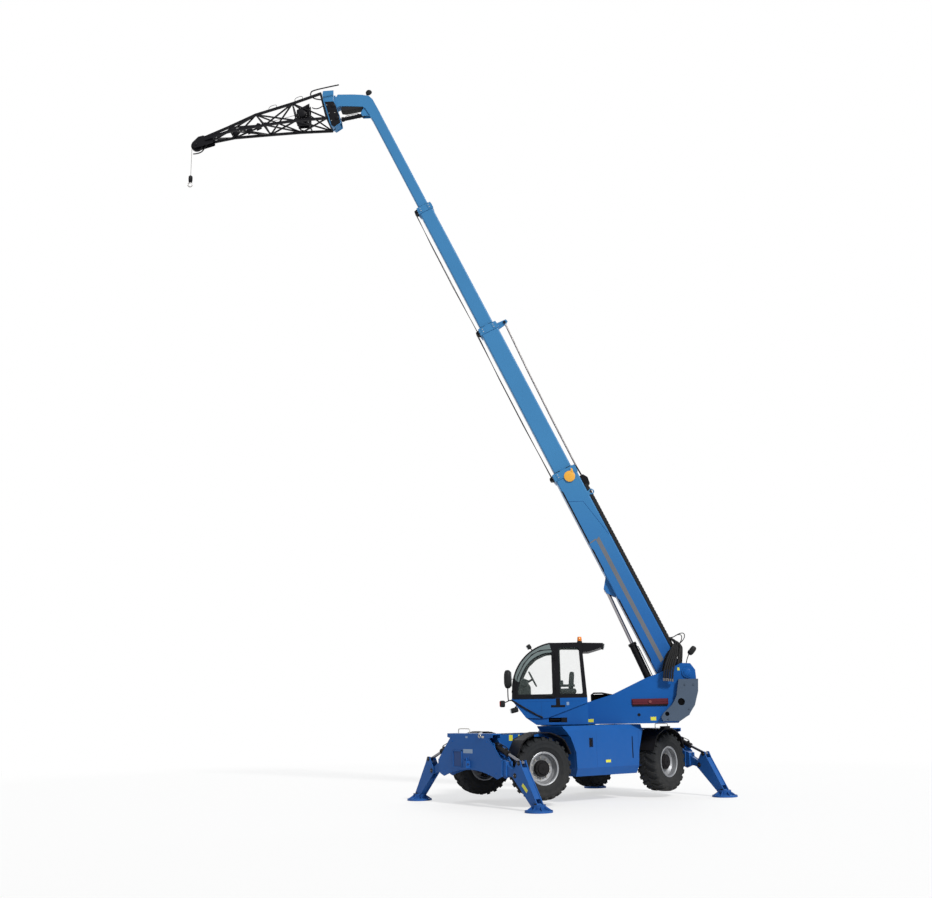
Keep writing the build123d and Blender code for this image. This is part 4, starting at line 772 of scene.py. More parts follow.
cab_side = turret @ stand((0, CAB_OUT, 0), X, Z)
inner = [(0.26, 2.912), (0.47, 2.903), (0.646, 2.822), (0.81, 2.648), (0.942, 2.395), (0.962, 2.30)]
band = slab(np.concatenate([along_bow(0.03, 0.2, 1.0), inner]), -0.001, 0.004, 0.0015)
piece("windscreen_edge", at(cab_side, band), glass_edge_reflection, "turret")
door_line = [(0.952, 2.30), (0.93, 2.39), (0.80, 2.64), (0.64, 2.81), (0.47, 2.89), (0.25, 2.90)]
door_line = soften(door_line, 2)
pane_line = [(0.90, 2.29), (0.88, 2.37), (0.76, 2.60), (0.595, 2.752), (0.40, 2.835), (0.25, 2.845)]
pane_line = soften(pane_line, 2)
door_middle = np.array([0.45, 2.35])


def drawn_to(line, distance):
    """A line whose points each move by a distance towards the middle of the door."""
    away = door_middle - line
    return line + away / np.linalg.norm(away, axis=1)[:, None] * distance


band = np.concatenate([drawn_to(door_line, 0.004), drawn_to(pane_line, -0.008)[::-1]])
piece("door_glass_edge", at(cab_side, slab(band, -0.001, 0.004, 0.0015)), glass_edge_reflection, "cab_door")


def seal(corners, y):
    """A rubber bead round a window, on a plane across the cab.

    Each corner is swept by a short curve between two points on its edges, (1 - t)^2 of the first
    and t^2 of the second, and an eight-sided circle is carried round the loop.
    """
    p = np.array(corners, float)
    before, after = np.roll(p, 1, 0) - p, np.roll(p, -1, 0) - p
    before *= 0.04 / np.linalg.norm(before, axis=1)[:, None]
    after *= 0.04 / np.linalg.norm(after, axis=1)[:, None]
    t = np.linspace(0, 1, 5)[None, :, None]
    x, z = (p[:, None] + (1 - t) ** 2 * before[:, None] + t**2 * after[:, None]).reshape(-1, 2).T
    p = np.column_stack([x, np.full(len(x), y), z])
    along = np.roll(p, -1, 0) - np.roll(p, 1, 0)
    along /= np.linalg.norm(along, axis=1)[:, None]
    side = np.cross(along, (0, 1, 0))
    side /= np.linalg.norm(side, axis=1)[:, None]
    up = np.cross(along, side)
    a = np.linspace(0, 2 * np.pi, 8, endpoint=False)[None, :, None]
    return skin(p[:, None] + 0.007 * (np.cos(a) * side[:, None] + np.sin(a) * up[:, None]), "joined")


door_pane = [(0.25, 2.04), (0.95, 2.04), (0.936, 2.14), (0.88, 2.37), (0.76, 2.60), (0.595, 2.752)]
door_pane += [(0.40, 2.835), (0.25, 2.845)]
rear_pane = [(0.115, 2.04), (-0.34, 2.04), (-0.29, 2.94), (0.115, 2.95)]
piece("door_seal", at(turret, seal(door_pane, SEAL_OUT)), rubber, "cab_door")
cab_seals = [seal(rear_pane, SEAL_OUT), seal(rear_pane, SEAL_IN), seal(door_pane, SEAL_IN)]
piece("cab_seals", at(turret, *cab_seals), rubber, "turret")

# The door post runs on down over the base and ends in a foot, beside a black strip under the door
side_trim = [
    box(0.115, 0.193, -0.001, 0.008, 1.83, 1.966),
    box(0.02, 0.29, -0.001, 0.01, 1.795, 1.835, 0.004),
    box(0.2, 1.04, -0.001, 0.004, 1.955, 1.969, 0.002),
]
# A pipe under the base, a grab rail by the door, the wiper with its motor, and ribs on the roof
pipe = [(1.07, 1.147, 1.945), (1.0, 1.165, 1.90), (0.62, 1.165, 1.675), (0.46, 1.15, 1.60)]
grab = [(1.035, 1.148, 2.1), (1.03, 1.185, 2.12), (1.005, 1.185, 2.40), (0.985, 1.148, 2.42)]
cab_trim = [bent(pipe, 0.016, 12), bent(grab, 0.009, 10)]
x, z = along_bow(-0.014, 0.02, 0.6, 18).T
cab_trim += [tube(np.column_stack([x, np.full(len(x), y), z]), 0.006, 6) for y in (0.74, 0.705)]
cab_trim.append(box(1.045, 1.085, 0.66, 0.80, 2.085, 2.135, 0.008))
cab_trim += [box(-0.33, 0.26, y - 0.02, y + 0.02, 3.026, 3.046, 0.006) for y in (0.45, 0.62, 0.8, 0.97)]
cab_trim = at(cab_side, *side_trim) + at(turret, *cab_trim)
piece("cab_trim", cab_trim, black_paint, "turret")
plastic = finish_of("moulded_plastic", (0.014, 0.015, 0.016), 0.5, shine=0.12, peel=0.3, peel_size=500)
handle = [
    box(0.24, 0.40, -0.001, 0.012, 1.995, 2.025, 0.005),
    bent([(0.26, 0.008, 2.01), (0.28, 0.03, 2.01), (0.36, 0.03, 2.01), (0.38, 0.008, 2.01)], 0.008),
]
piece("door_handle", at(cab_side, *handle), plastic, "cab_door")
base_seams = [
    box(-0.40, 1.02, -0.001, 0.0008, 1.905, 1.909, 0.0004),
    box(0.48, 0.484, -0.001, 0.0008, 1.62, 1.90, 0.0004),
]
piece("cab_base_seams", at(cab_side, *base_seams), shade_blue, "turret")
label = box(-0.06, -0.01, -0.001, 0.0012, 1.83, 1.89, 0.0005)
piece("cab_base_decals", at(cab_side, label), blank_label, "turret")

# ---------------------------------------------------------------- inside the cab
# A foam seat in dark cloth on its box, and a moulded console with a wheel, a screen and levers.
# The foam is drawn in by its seams and by two sewn channels.
SEAT_Y = 0.815
seat_cloth = finish_of("seat_cloth", (0.008, 0.010, 0.012), 0.9, shine=0.12, peel=0.8, peel_size=700)
dash_plastic = finish_of("dash_plastic", (0.010, 0.014, 0.015), 0.55, shine=0.12, peel=0.4, peel_size=400)


def cushion(length, width, thick, around=48, levels=28):
    """A crowned pad: superelliptic rings across a superelliptic length, drawn in along two channels.

    Half sizes shrink as (1 - |t|^5)^(1/5) along the pad; a channel takes off 12 mm of thickness.
    """
    t = np.linspace(-0.9999, 0.9999, levels)
    shrink = (1 - np.abs(t) ** 5) ** 0.2
    a = np.linspace(0, 2 * np.pi, around, endpoint=False)
    round_off = (np.abs(np.cos(a)) ** 4 + np.abs(np.sin(a)) ** 4) ** -0.25
    across = round_off * np.cos(a) * width / 2
    up = round_off * np.sin(a) * thick / 2
    groove = sum(np.exp(-(((across - width * k) / 0.008) ** 2)) for k in (-0.22, 0.22))
    up = up - np.sign(up) * 0.012 * groove
    x = t[:, None] * length / 2 + 0 * a
    return skin(np.stack([x, shrink[:, None] * across, shrink[:, None] * up], axis=-1))


seat_pad = at(turret @ stand((-0.02, SEAT_Y, 2.10), X, Z), cushion(0.38, 0.43, 0.11))
seat_pad = piece("seat_cushion", seat_pad, seat_cloth, "turret", crease=80)
back_at = turret @ stand((-0.115, SEAT_Y, 2.30), (-0.1, 0, 0.995), (-0.995, 0, -0.1))
seat_back = at(back_at, cushion(0.36, 0.42, 0.10))
seat_back = piece("seat_backrest", seat_back, seat_cloth, "turret", crease=80)
# Seat box, console, dash and sill; armrests with their levers; the wheel's column and a screen
console = [(0.69, 1.66), (0.765, 1.66), (0.885, 1.835), (0.885, 2.20), (0.76, 2.29), (0.70, 2.2)]
dash = [(0.84, 2.20), (0.905, 2.22), (0.90, 2.34), (0.84, 2.37), (0.74, 2.33), (0.76, 2.24)]
inside = [
    slab([(-0.19, 1.85), (0.13, 1.70), (0.13, 2.05), (-0.19, 2.05)], 0.66, 0.97, 0.01),
    slab(console, 0.73, 0.90, 0.012),
    slab(dash, 0.60, 1.02, 0.012),
    slab([(0.88, 2.02), (0.95, 2.02), (0.94, 2.14), (0.90, 2.22), (0.86, 2.2)], 0.40, 1.08, 0.01),
    box(-0.18, 0.12, 1.00, 1.06, 2.19, 2.23, 0.012),
    box(-0.18, 0.12, 0.57, 0.63, 2.19, 2.23, 0.012),
    box(0.05, 0.11, 0.585, 0.615, 2.2, 2.31, 0.01),
    box(0.05, 0.11, 1.015, 1.045, 2.2, 2.31, 0.01),
    bent([(0.80, SEAT_Y, 2.26), (0.72, SEAT_Y, 2.31), (0.66, SEAT_Y, 2.345)], 0.02, 12, 1),
    box(0.88, 0.915, 0.42, 0.62, 2.22, 2.36, 0.008),
]
# Steering wheel: a rim, a hub and three spokes
wheel_parts = [hoop(0.158, 0.014, 40), turned([(0.035, -0.01), (0.035, 0.01), (0.02, 0.018)], 24)]
for a in (np.pi / 2, np.pi * 7 / 6, np.pi * 11 / 6):
    wheel_parts.append(tube([(r * np.cos(a), r * np.sin(a), 0) for r in (0.03, 0.155)], 0.009, 8))
inside += at(stand((0.655, SEAT_Y, 2.35), (0.45, 0, 0.893), (-0.893, 0, 0.45)), *wheel_parts)
interior = piece("cab_fittings", at(turret, *inside), dash_plastic, "turret")
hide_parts("cab_interior")

# ---------------------------------------------------------------- mirrors, lamps and beacon
# Moulded plastic mirrors on steel arms, rubber-mounted work lamps, and an amber beacon on the roof.
# Each is bolted on; the mirror glass is let into the face of a rounded shell.
LAMP_POWER, MIRROR_POWER = 5, 3
ARM_Y, REAR_ARM_Y = 1.09, 0.465
mirror_glass = finish_of("mirror_glass", (0.55, 0.58, 0.6), 0.05, metal=1.0, peel=0.0, spread=0.02)
lamp_clear = finish_of("clear_lens", (0.55, 0.58, 0.6), 0.12, peel=0.3, peel_size=400)
lamp_amber = finish_of("amber_lens", (0.75, 0.2, 0.01), 0.15, peel=0.3, peel_size=400)


def shell(size, power, around=28, levels=18):
    """A rounded block: superelliptic rings of a power, which shrink towards both ends.

    At a share t of the half height, a ring has (1 - |t|^power)^(1/power) of the half sizes.
    """
    half = np.array(size) / 2
    t = np.linspace(-0.9995, 0.9995, levels)
    t = np.sin(t * np.pi / 2)
    shrink = (1 - np.abs(t) ** power) ** (1 / power)
    a = np.linspace(0, 2 * np.pi, around, endpoint=False)
    out = (np.abs(np.cos(a)) ** power + np.abs(np.sin(a)) ** power) ** (-1 / power)
    x = shrink[:, None] * (out * np.cos(a)) * half[0]
    y = shrink[:, None] * (out * np.sin(a)) * half[1]
    return skin(np.stack([x, y, t[:, None] * half[2] + 0 * a], axis=-1))


def facing(origin, x, z):
    """A local frame in the turret whose X points along (x, 0, z)."""
    return turret @ stand(origin, (x, 0, z), (-z, 0, x))


# The front mirror's arm and stays, the rear one's arm, and the lamps' brackets
arm = [(1.04, 1.945), (1.12, 1.935), (1.14, 1.96), (1.138, 2.3), (1.135, 2.52)]
arms = [
    bent([(x, ARM_Y, z) for x, z in arm], 0.011, 10),
    tube([(1.135, ARM_Y, 2.35), (1.03, ARM_Y, 2.35)], 0.007, 8),
    tube([(1.12, ARM_Y, 1.935), (1.2, ARM_Y, 1.90), (1.235, ARM_Y, 1.885)], 0.01, 8),
    tube([(-2.42, REAR_ARM_Y, 2.60), (-2.44, REAR_ARM_Y, 2.68), (-2.495, REAR_ARM_Y, 2.82)], 0.009, 10),
    box(1.03, 1.075, 1.06, 1.12, 1.925, 1.96, 0.006),
    tube([(0.63, 1.03, 2.90), (0.67, 1.03, 2.945)], 0.012, 8),
    tube([(0.96, 1.0, 1.86), (1.02, 1.0, 1.78)], 0.014, 8),
]
piece("mirror_arms", at(turret, *arms), black_paint, "turret")
heads, mirror_faces = [], []
for place, size, face_x, face_size in (
    (facing((1.135, ARM_Y, 2.35), 1, 0), (0.15, 0.19, 0.36), -0.072, (0.012, 0.15, 0.30)),
    (facing((-2.55, REAR_ARM_Y, 2.86), 0.766, 0.643), (0.12, 0.2, 0.2), 0.056, (0.01, 0.16, 0.13)),
):
    heads += at(place, shell(size, MIRROR_POWER))
    mirror_faces += at(place @ stand((face_x, 0, 0), X, Z), shell(face_size, MIRROR_POWER))
mirrors = piece("mirror_heads", heads, plastic, "turret")
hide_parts("mirrors_and_lights")
piece("mirror_faces", mirror_faces, mirror_glass, "turret")
for name, place, (depth, width, high), lens in (
    ("roof_lamp", facing((0.70, 1.03, 2.975), 0.85, -0.527), (0.09, 0.13, 0.09), lamp_clear),
    ("skirt_lamp", facing((1.02, 1.05, 1.75), 0.97, -0.243), (0.15, 0.16, 0.1), lamp_clear),
    ("marker_lamp", facing((1.25, ARM_Y, 1.875), 1, 0), (0.1, 0.12, 0.13), lamp_red),
    ("visor_lamp_left", facing((-0.76, 1.0, 2.965), -0.97, -0.243), (0.07, 0.13, 0.09), lamp_clear),
    ("visor_lamp_right", facing((-0.76, 0.45, 2.965), -0.97, -0.243), (0.07, 0.13, 0.09), lamp_clear),
):
    housing = at(place, shell((depth, width, high), LAMP_POWER))
    piece(f"{name}_housing", housing, plastic, "turret")
    lens_shell = shell((depth * 0.3, width * 0.86, high * 0.84), LAMP_POWER)
    lens_shell = at(place @ stand((depth * 0.42, 0, 0), X, Z), lens_shell)
    piece(f"{name}_lens", lens_shell, lens, "turret")
beacon = turret @ stand((-0.31, 0.95, 3.028), X, Z)
beacon_foot = turned([(0.05, 0), (0.052, 0.03), (0.044, 0.045), (0.03, 0.045)], 32)
piece("beacon_foot", at(beacon, beacon_foot), plastic, "turret")
dome = [(0.043, 0.04), (0.046, 0.06), (0.043, 0.065), (0.046, 0.08), (0.043, 0.085), (0.044, 0.11)]
dome = turned(dome + [(0.034, 0.126), (0.012, 0.131)], 36)
piece("beacon_dome", at(beacon, dome), lamp_amber, "turret")

# ---------------------------------------------------------------- boom
# Four box sections, pressed and welded from high-strength plate, sliding in one another on nylon pads.
# Their blue is painted paler than the chassis's, standing in for the brighter light high up, and a grey
# stripe runs along the first one.
PAINTED_LIGHT_BLUE = (0.045, 0.185, 0.385)
LIGHT_FROM, LIGHT_AT = 2.4, 6.6
boom_paint_lit = finish_of("boom_blue_painted_light", PAINTED_LIGHT_BLUE, 0.3, shine=0.15, spread=0.1)
first_blue_lit_upwards = finish_of("first_section_blue_lit_upwards", (0.009, 0.088, 0.32), 0.3, shine=0.15, spread=0.15)
# Painted highlight: the first section's blue runs in a straight line to the paler blue between two heights,
# lighter higher up as the light falls
tree = first_blue_lit_upwards.node_tree
shader = tree.nodes["Principled BSDF"]
plain = shader.inputs["Base Color"].links[0].from_socket
height = node(tree, "SeparateXYZ", {0: node(tree, "TexCoord").outputs["Object"]}).outputs["Z"]
rise = {"Value": height, "From Min": LIGHT_FROM, "From Max": LIGHT_AT}
painted_light_share = node(tree, "MapRange", rise).outputs["Result"]
blues = {"Factor": painted_light_share, "A": plain, "B": (*PAINTED_LIGHT_BLUE, 1)}
feed(tree, shader, {"Base Color": node(tree, "Mix", blues, data_type="RGBA").outputs["Result"]})
hose_rubber = finish_of("hose_rubber", (0.016, 0.016, 0.017), 0.55, shine=0.12, peel=0.4, peel_size=350)
stripe_grey = finish_of("stripe_grey", (0.125, 0.135, 0.155), 0.4, shine=0.2, peel=0.0)
dress(first_blue_lit_upwards, "boom_section_1")
dress(boom_paint_lit, *(f"boom_section_{number}" for number in (2, 3, 4)))
ALONG = np.array(joints["telescope_2"]["axis"])
ACROSS = np.array([0.6561, 0.7547, 0])
boom = stand(joints["boom_lift"]["pos_m"], ALONG, np.cross(ALONG, ACROSS))
# Each section's width and height, and how far along the boom its head stands
SECTION_SIZES = ((0.400, 0.500, 4.89), (0.330, 0.400, 8.62), (0.262, 0.320, 11.96), (0.196, 0.240, 14.88))
BOOM_MIDDLE = -0.285
COLLAR_WALL = 0.016
PAD_OFF = 0.012
for number, (wide, high, head) in enumerate(SECTION_SIZES[:3], start=1):
    half_w, half_h = wide / 2 + COLLAR_WALL, high / 2 + COLLAR_WALL
    next_w, next_h = SECTION_SIZES[number][0] / 2, SECTION_SIZES[number][1] / 2
    blocks, plates, heads = [], [], []
    # Nylon pads seen in the collar's mouth, with their retaining plates bolted to its faces
    for way in (-1, 1):
        for part in (-1, 1):
            y, z = part * next_w * 0.62, BOOM_MIDDLE + way * (next_h + PAD_OFF)
            blocks.append(box(head - 0.02, head + 0.022, y - 0.05, y + 0.05, z - 0.009, z + 0.009))
            y, z = way * (next_w + PAD_OFF), BOOM_MIDDLE + part * next_h * 0.62
            blocks.append(box(head - 0.02, head + 0.022, y - 0.009, y + 0.009, z - 0.05, z + 0.05))
            plate = boom @ stand((head - 0.08, way * half_w, BOOM_MIDDLE + part * half_h * 0.6), X, Z)
            plates += at(plate, box(-0.055, 0.055, -0.008, 0.008, -0.04, 0.04))
            heads += [plate @ stand((x, way * 0.008, 0), X, way * Y) for x in (-0.03, 0.03)]
            plate = boom @ stand((head - 0.08, part * half_w * 0.6, BOOM_MIDDLE + way * half_h), X, Z)
            plates += at(plate, box(-0.055, 0.055, -0.04, 0.04, -0.008, 0.008))
            heads += [plate @ stand((x, 0, way * 0.008), X, way * Z) for x in (-0.03, 0.03)]
    # A roller for the chain stands out at the foot corner of each collar, between two cheeks
    foot = BOOM_MIDDLE - half_h
    blocks += at(stand((head - 0.045, 0, foot - 0.035), X, Y), turned([(0.045, -0.06), (0.045, 0.06)], 24))
    cheek = [(head - 0.11, foot), (head + 0.01, foot)]
    cheek += [(head - 0.015, foot - 0.075), (head - 0.075, foot - 0.075)]
    blocks += [slab(cheek, y - 0.008, y + 0.008, 0.002) for y in (-0.075, 0.075)]
    on = f"boom_{number}"
    piece(f"collar_pads_{number}", at(boom, *blocks), black_paint, on)
    plate_paint = first_blue_lit_upwards if number == 1 else boom_paint_lit
    piece(f"collar_plates_{number}", plates, plate_paint, on)
    piece(f"collar_bolts_{number}", bolts(0.011, heads), zinc, on)

# Grey stripe on both sides of the first section, an amber disc near its head, hose track on its back
for way, name in ((1, "left"), (-1, "right")):
    side = boom @ stand((0, way * SECTION_SIZES[0][0] / 2, 0), X, Z)
    lane = slab([(0.40, -0.36), (3.23, -0.36), (3.27, -0.272), (0.44, -0.272)], -0.0012, 0.0012, 0.0005)
    tail = [(3.215, -0.505), (3.24, -0.505), (3.262, -0.355), (3.232, -0.355)]
    tail = slab(tail, -0.0012, 0.0012, 0.0005)
    piece(f"boom_stripe_{name}", at(side, lane, tail), stripe_grey, "boom_1")
    # Edges of the doubling plate welded round the section's head, and dark strips along its foot
    rim = [(4.23, way * 0.0008, -0.52), (4.09, way * 0.0008, -0.22), (3.22, way * 0.0008, -0.06)]
    edges = [tube(rim[:2], 0.003, 6), tube(rim[1:], 0.003, 6)]
    piece(f"doubling_plate_edges_{name}", at(side, *edges), shade_blue, "boom_1")
    strips = []
    for x0, x1 in ((3.2, 4.5), (2.55, 3.12), (0.5, 1.95)):
        strip = [(x0, -0.535), (x1, -0.535), (x1 - 0.05, -0.503), (x0 + 0.05, -0.503)]
        strips.append(slab(strip, -0.004, 0.004, 0.001))
    piece(f"boom_foot_strips_{name}", at(side, *strips), black_paint, "boom_1")
disc_yellow = finish_of("amber_disc", (0.72, 0.36, 0.04), 0.35, peel=0.0, spread=0.3)
tab = slab([(4.775, -0.17), (4.845, -0.115), (4.82, -0.10), (4.72, -0.118)], 0.215, 0.234)
disc = turned([(0.118, -0.026), (0.118, 0.006), (0.11, 0.009), (0.04, 0.009)])
disc = at(boom, tab) + at(boom @ stand((4.70, 0.225, -0.228), X, Y), disc)
piece("boom_disc", disc, disc_yellow, "boom_1")
link = box(-0.028, 0.028, 0.044, 0.192, -0.03, 0.047, 0.006)
track = [
    box(0.36, 4.40, 0.05, 0.185, -0.036, 0.04, 0.01),
    many(link, [stand((x, 0, 0), X, Z) for x in np.arange(0.54, 4.4, 0.075)]),
]
track += [tube([(0.5, y, -0.02), (4.4, y, -0.02)], 0.013, 8) for y in (-0.16, -0.13, -0.10)]
track += [box(x, x + 0.04, -0.185, -0.075, -0.04, -0.002, 0.004) for x in np.arange(0.8, 4.4, 0.65)]
piece("boom_hose_track", at(boom, *track), hose_rubber, "boom_1")

# A bracket with its sheave at the first head, and a pinned lug at the second, for the tube between
bracket = [(4.36, -0.04), (4.64, -0.04), (4.64, 0.06), (4.54, 0.12), (4.40, 0.10)]
first_head = [slab(bracket, y - 0.006, y + 0.006) for y in (-0.06, 0.06)]
sheave = turned([(0.07, -0.045), (0.058, -0.02), (0.058, 0.02), (0.07, 0.045)], 28)
first_head += at(stand((4.52, 0, 0.045), X, Y), sheave)
first_head.append(box(4.38, 4.6, -0.09, 0.09, -0.037, 0.02, 0.006))
first_head.append(tube([(4.56, 0, 0.03), (4.9, 0, 0.018)], 0.017))
piece("first_head_bracket", at(boom, *first_head), black_paint, "boom_1")
lug = slab([(8.46, -0.075), (8.615, -0.075), (8.60, 0.17), (8.54, 0.185), (8.49, 0.12)], -0.012, 0.012)
piece("second_head_lug", at(boom, lug), boom_paint_lit, "boom_2")
lug_pin = at(boom @ stand((8.55, 0, 0.11), X, Y), turned([(0.03, -0.04), (0.03, 0.04)], 20))
piece("second_head_pin", lug_pin, black_paint, "boom_2")

# Steel tube, hoses and chains that reach from one head to the next.
pipe_steel = finish_of("pipe_steel", (0.16, 0.15, 0.15), 0.35, metal=0.7)
for number, name, y, radius, line in (
    (1, "tube", 0, 0.019, ((4.89, 0.018), (6, 0.03), (7.3, 0.06), (8.545, 0.11))),
    (1, "hose", 0.06, 0.009, ((4.9, -0.57), (6.2, -0.595), (7.4, -0.59), (8.61, -0.555))),
    (1, "chain", -0.06, 0.008, ((4.9, -0.575), (6.5, -0.575), (8.61, -0.57))),
    (2, "hose", 0.05, 0.008, ((8.63, -0.53), (9.8, -0.555), (11, -0.55), (11.95, -0.52))),
    (2, "chain", -0.05, 0.007, ((8.63, -0.53), (10.3, -0.53), (11.95, -0.53))),
):
    finish, slot = (hose_rubber, "plastic") if name == "hose" else (pipe_steel, "steel")
    run = at(boom, tube([(x, y, z) for x, z in line], radius))
    run = piece(f"section_{number + 1}_{name}", run, finish, f"boom_{number}")
    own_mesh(run)

back_eye = at(stand((4.2, 0.19, 0.03), X, Y), hoop(0.05, 0.014, 24))
back_eye.append(box(4.15, 4.25, 0.17, 0.2, -0.06, -0.01, 0.004))
piece("boom_back_eye", at(boom, *back_eye), boom_paint_lit, "boom_1")


def over_pivot(name, path):
    """A hose from the turret at its foot up over the pivot to the boom's head, baked in place on no body.
    """
    hose = piece(name, at(turret, bent(path, 0.018)), hose_rubber, None)
    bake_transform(hose)


for number in range(13):
    shift = number / 12
    y = 0.235 + 0.185 * (number % 4) / 3 + 0.01 * (number % 2)
    path = [
        (-2.30 + 0.36 * shift, y, 2.26),
        (-2.32 + 0.36 * shift, y, 2.46),
        (-2.35 + 0.35 * shift, y + 0.01, 2.66),
        (-2.37 + 0.29 * shift, y, 2.84),
        (-2.38 + 0.17 * shift, y - 0.03, 2.95),
        (-2.32 + 0.07 * shift, y * 0.7 + 0.03, 3.03 + 0.03 * shift),
        (-2.24 + 0.03 * shift, 0.10 + 0.006 * number, 3.07 + 0.04 * shift),
        (-2.16, 0.08 + 0.007 * number, 3.13),
    ]
    over_pivot(f"pivot_hose_{number}", path)
# A few more hang down outside the cheek to their unions
unions = []
nut = turned([(0.02, -0.03), (0.024, -0.026), (0.024, 0), (0.02, 0.004)], 6)
bracket = box(-0.016, 0.016, -0.07, 0.015, -0.05, -0.02, 0.004)
for number in range(5):
    shift = number / 4
    foot = (-1.95 - 0.17 * shift, 0.625, 2.32 - 0.02 * shift)
    path = [
        foot,
        (-1.96 - 0.17 * shift, 0.65, 2.43),
        (-2.0 - 0.17 * shift, 0.64, 2.58),
        (-2.08 - 0.15 * shift, 0.56, 2.75),
        (-2.16 - 0.11 * shift, 0.44, 2.93),
        (-2.24 - 0.05 * shift, 0.3, 3.02),
        (-2.2, 0.18 + 0.01 * number, 3.09),
        (-2.15, 0.11 + 0.015 * number, 3.13),
    ]
    over_pivot(f"outer_hose_{number}", path)
    unions += at(turret @ stand(foot, X, Z), nut, bracket)
piece("hose_unions", unions, pipe_steel, "turret")
loops = []
for y, reach in ((0.09, 0.30), (0.15, 0.36)):
    rising = [(0.55, y, -0.03), (0.56, y, 0.14), (0.62, y, reach - 0.05), (0.72, y, reach)]
    falling = [(0.76, y, reach - 0.1), (0.74, y, 0.12), (0.78, y, 0.02)]
    loops.append(bent(rising + falling, 0.009, times=3))
piece("pivot_hose_loops", at(boom, *loops), hose_rubber, "boom_1")

# Black cable tray under the gooseneck, and the dome lamp on its stalk
jib_place = stand(joints["jib_tilt"]["pos_m"], TURN, Z)
tray = [(-0.82, 0.10), (-0.70, -0.10), (-0.30, -0.155), (-0.19, -0.135), (-0.20, -0.03), (-0.55, 0.03)]
tray = at(jib_place, slab(tray, -0.09, 0.09, 0.012))
piece("gooseneck_tray", tray, hose_rubber, "boom_4")
dome = turned([(0.075, 0), (0.078, 0.01), (0.07, 0.045), (0.045, 0.07), (0.012, 0.08)], 32)
neck_lamp = at(stand((-0.86, 0.03, 0.31), (0.9, 0, -0.436), (0.436, 0, 0.9)), dome)
neck_lamp.append(bent([(-0.78, 0, 0.16), (-0.79, 0.02, 0.26), (-0.84, 0.03, 0.31)], 0.006, times=1))
piece("gooseneck_lamp", at(jib_place, *neck_lamp), plastic, "boom_4")

# ---------------------------------------------------------------- lift and tilt cylinders
# Honed steel barrels in black paint with screwed glands, and hard-chromed rods.
# A long and a short pipe lie on each barrel, strapped down to its ports.
dress(black_paint, "lift_barrel", "tilt_barrel")
rod_steel = finish_of("rod_steel", (0.33, 0.32, 0.34), 0.25, metal=1.0, peel=0.0, spread=0.3)
dress(rod_steel, "lift_rod", "tilt_rod")
for name, r, length, rod_r, pipe_r in (
    ("lift", 0.075, 1.547, 0.038, 0.009),
    ("tilt", 0.045, 0.52, 0.025, 0.006),
):
    way = np.array(joints[f"{name}_rod"]["axis"])
    ram = stand(joints[f"{name}_barrel"]["pos_m"], way, np.cross(way, ACROSS))
    gland = [(r + 0.001, 0), (r + 0.012, 0.004), (r + 0.012, 0.055), (r + 0.004, 0.062)]
    gland += [(rod_r + 0.004, 0.064), (rod_r + 0.002, 0.05)]
    fittings = at(stand((length - 0.058, 0, 0), Z, X), turned(gland, 40))
    band = [(r + 0.001, 0), (r + 0.006, 0.003), (r + 0.006, 0.03), (r + 0.001, 0.034)]
    fittings += at(stand((r * 1.6, 0, 0), Z, X), turned(band, 40, "joined"))
    near, far = r * 2.2, length - 0.1
    for y, last in ((0.018, far), (-0.018, r * 3.4)):
        pipe = [(near, y, r - 0.004), (near + 0.01, y, r + 0.022)]
        pipe += [(last - 0.01, y, r + 0.022), (last, y, r - 0.004)]
        fittings.append(bent(pipe, pipe_r))
    strap = [(r + 0.0005, 0), (r + 0.004, 0.002), (r + 0.004, 0.026), (r + 0.0005, 0.028)]
    for x in np.linspace(r * 3.6, far - 0.1, 3):
        fittings += at(stand((x, 0, 0), Z, X), turned(strap, 36, "joined"))
    piece(f"{name}_barrel_fittings", at(ram, *fittings), black_paint, f"{name}_barrel")

# ---------------------------------------------------------------- carriage
# A blue welded quick coupler pinned to the boom's nose, in the boom's lit paler blue, with a black plate on
# each side, partly a dark part and partly painted shadow over its shaded middle.
# Its steel pins end in caps, and bolts hold the plates on.
dress(boom_paint_lit, "carriage")
plate = [(-0.155, -0.29), (-0.185, -0.472), (-0.04, -0.572), (0.026, -0.52), (0.20, 0.115)]
plate += [(-0.01, 0.105), (-0.06, 0.02)]
dark_plates_and_caps, plate_bolts = [], []
for way in (-1, 1):
    dark_plates_and_caps.append(slab(plate, way * 0.129 - 0.003, way * 0.129 + 0.003, 0.0015))
    for x, z, r in ((0.0, 0.0, 0.055), (-0.1006, -0.3352, 0.05)):
        cap = turned([(r, 0), (r, 0.012), (r - 0.008, 0.018)], 28)
        dark_plates_and_caps += at(stand((x, way * 0.128, z), X, way * Y), cap)
    for x, z in ((0.15, 0.02), (0.09, -0.2), (0.03, -0.40), (-0.05, -0.2)):
        plate_bolts.append(jib_place @ stand((x, way * 0.132, z), X, way * Y))
piece("carriage_side_plates", at(jib_place, *dark_plates_and_caps), black_paint, "jib")
piece("carriage_bolts", bolts(0.012, plate_bolts), zinc, "jib")
handle = bent([(-0.06, 0.06, -0.585), (-0.02, 0.06, -0.62), (0.03, 0.06, -0.60), (0.02, 0.06, -0.56)], 0.01)
piece("carriage_lock_handle", at(jib_place, handle), black_paint, "jib")

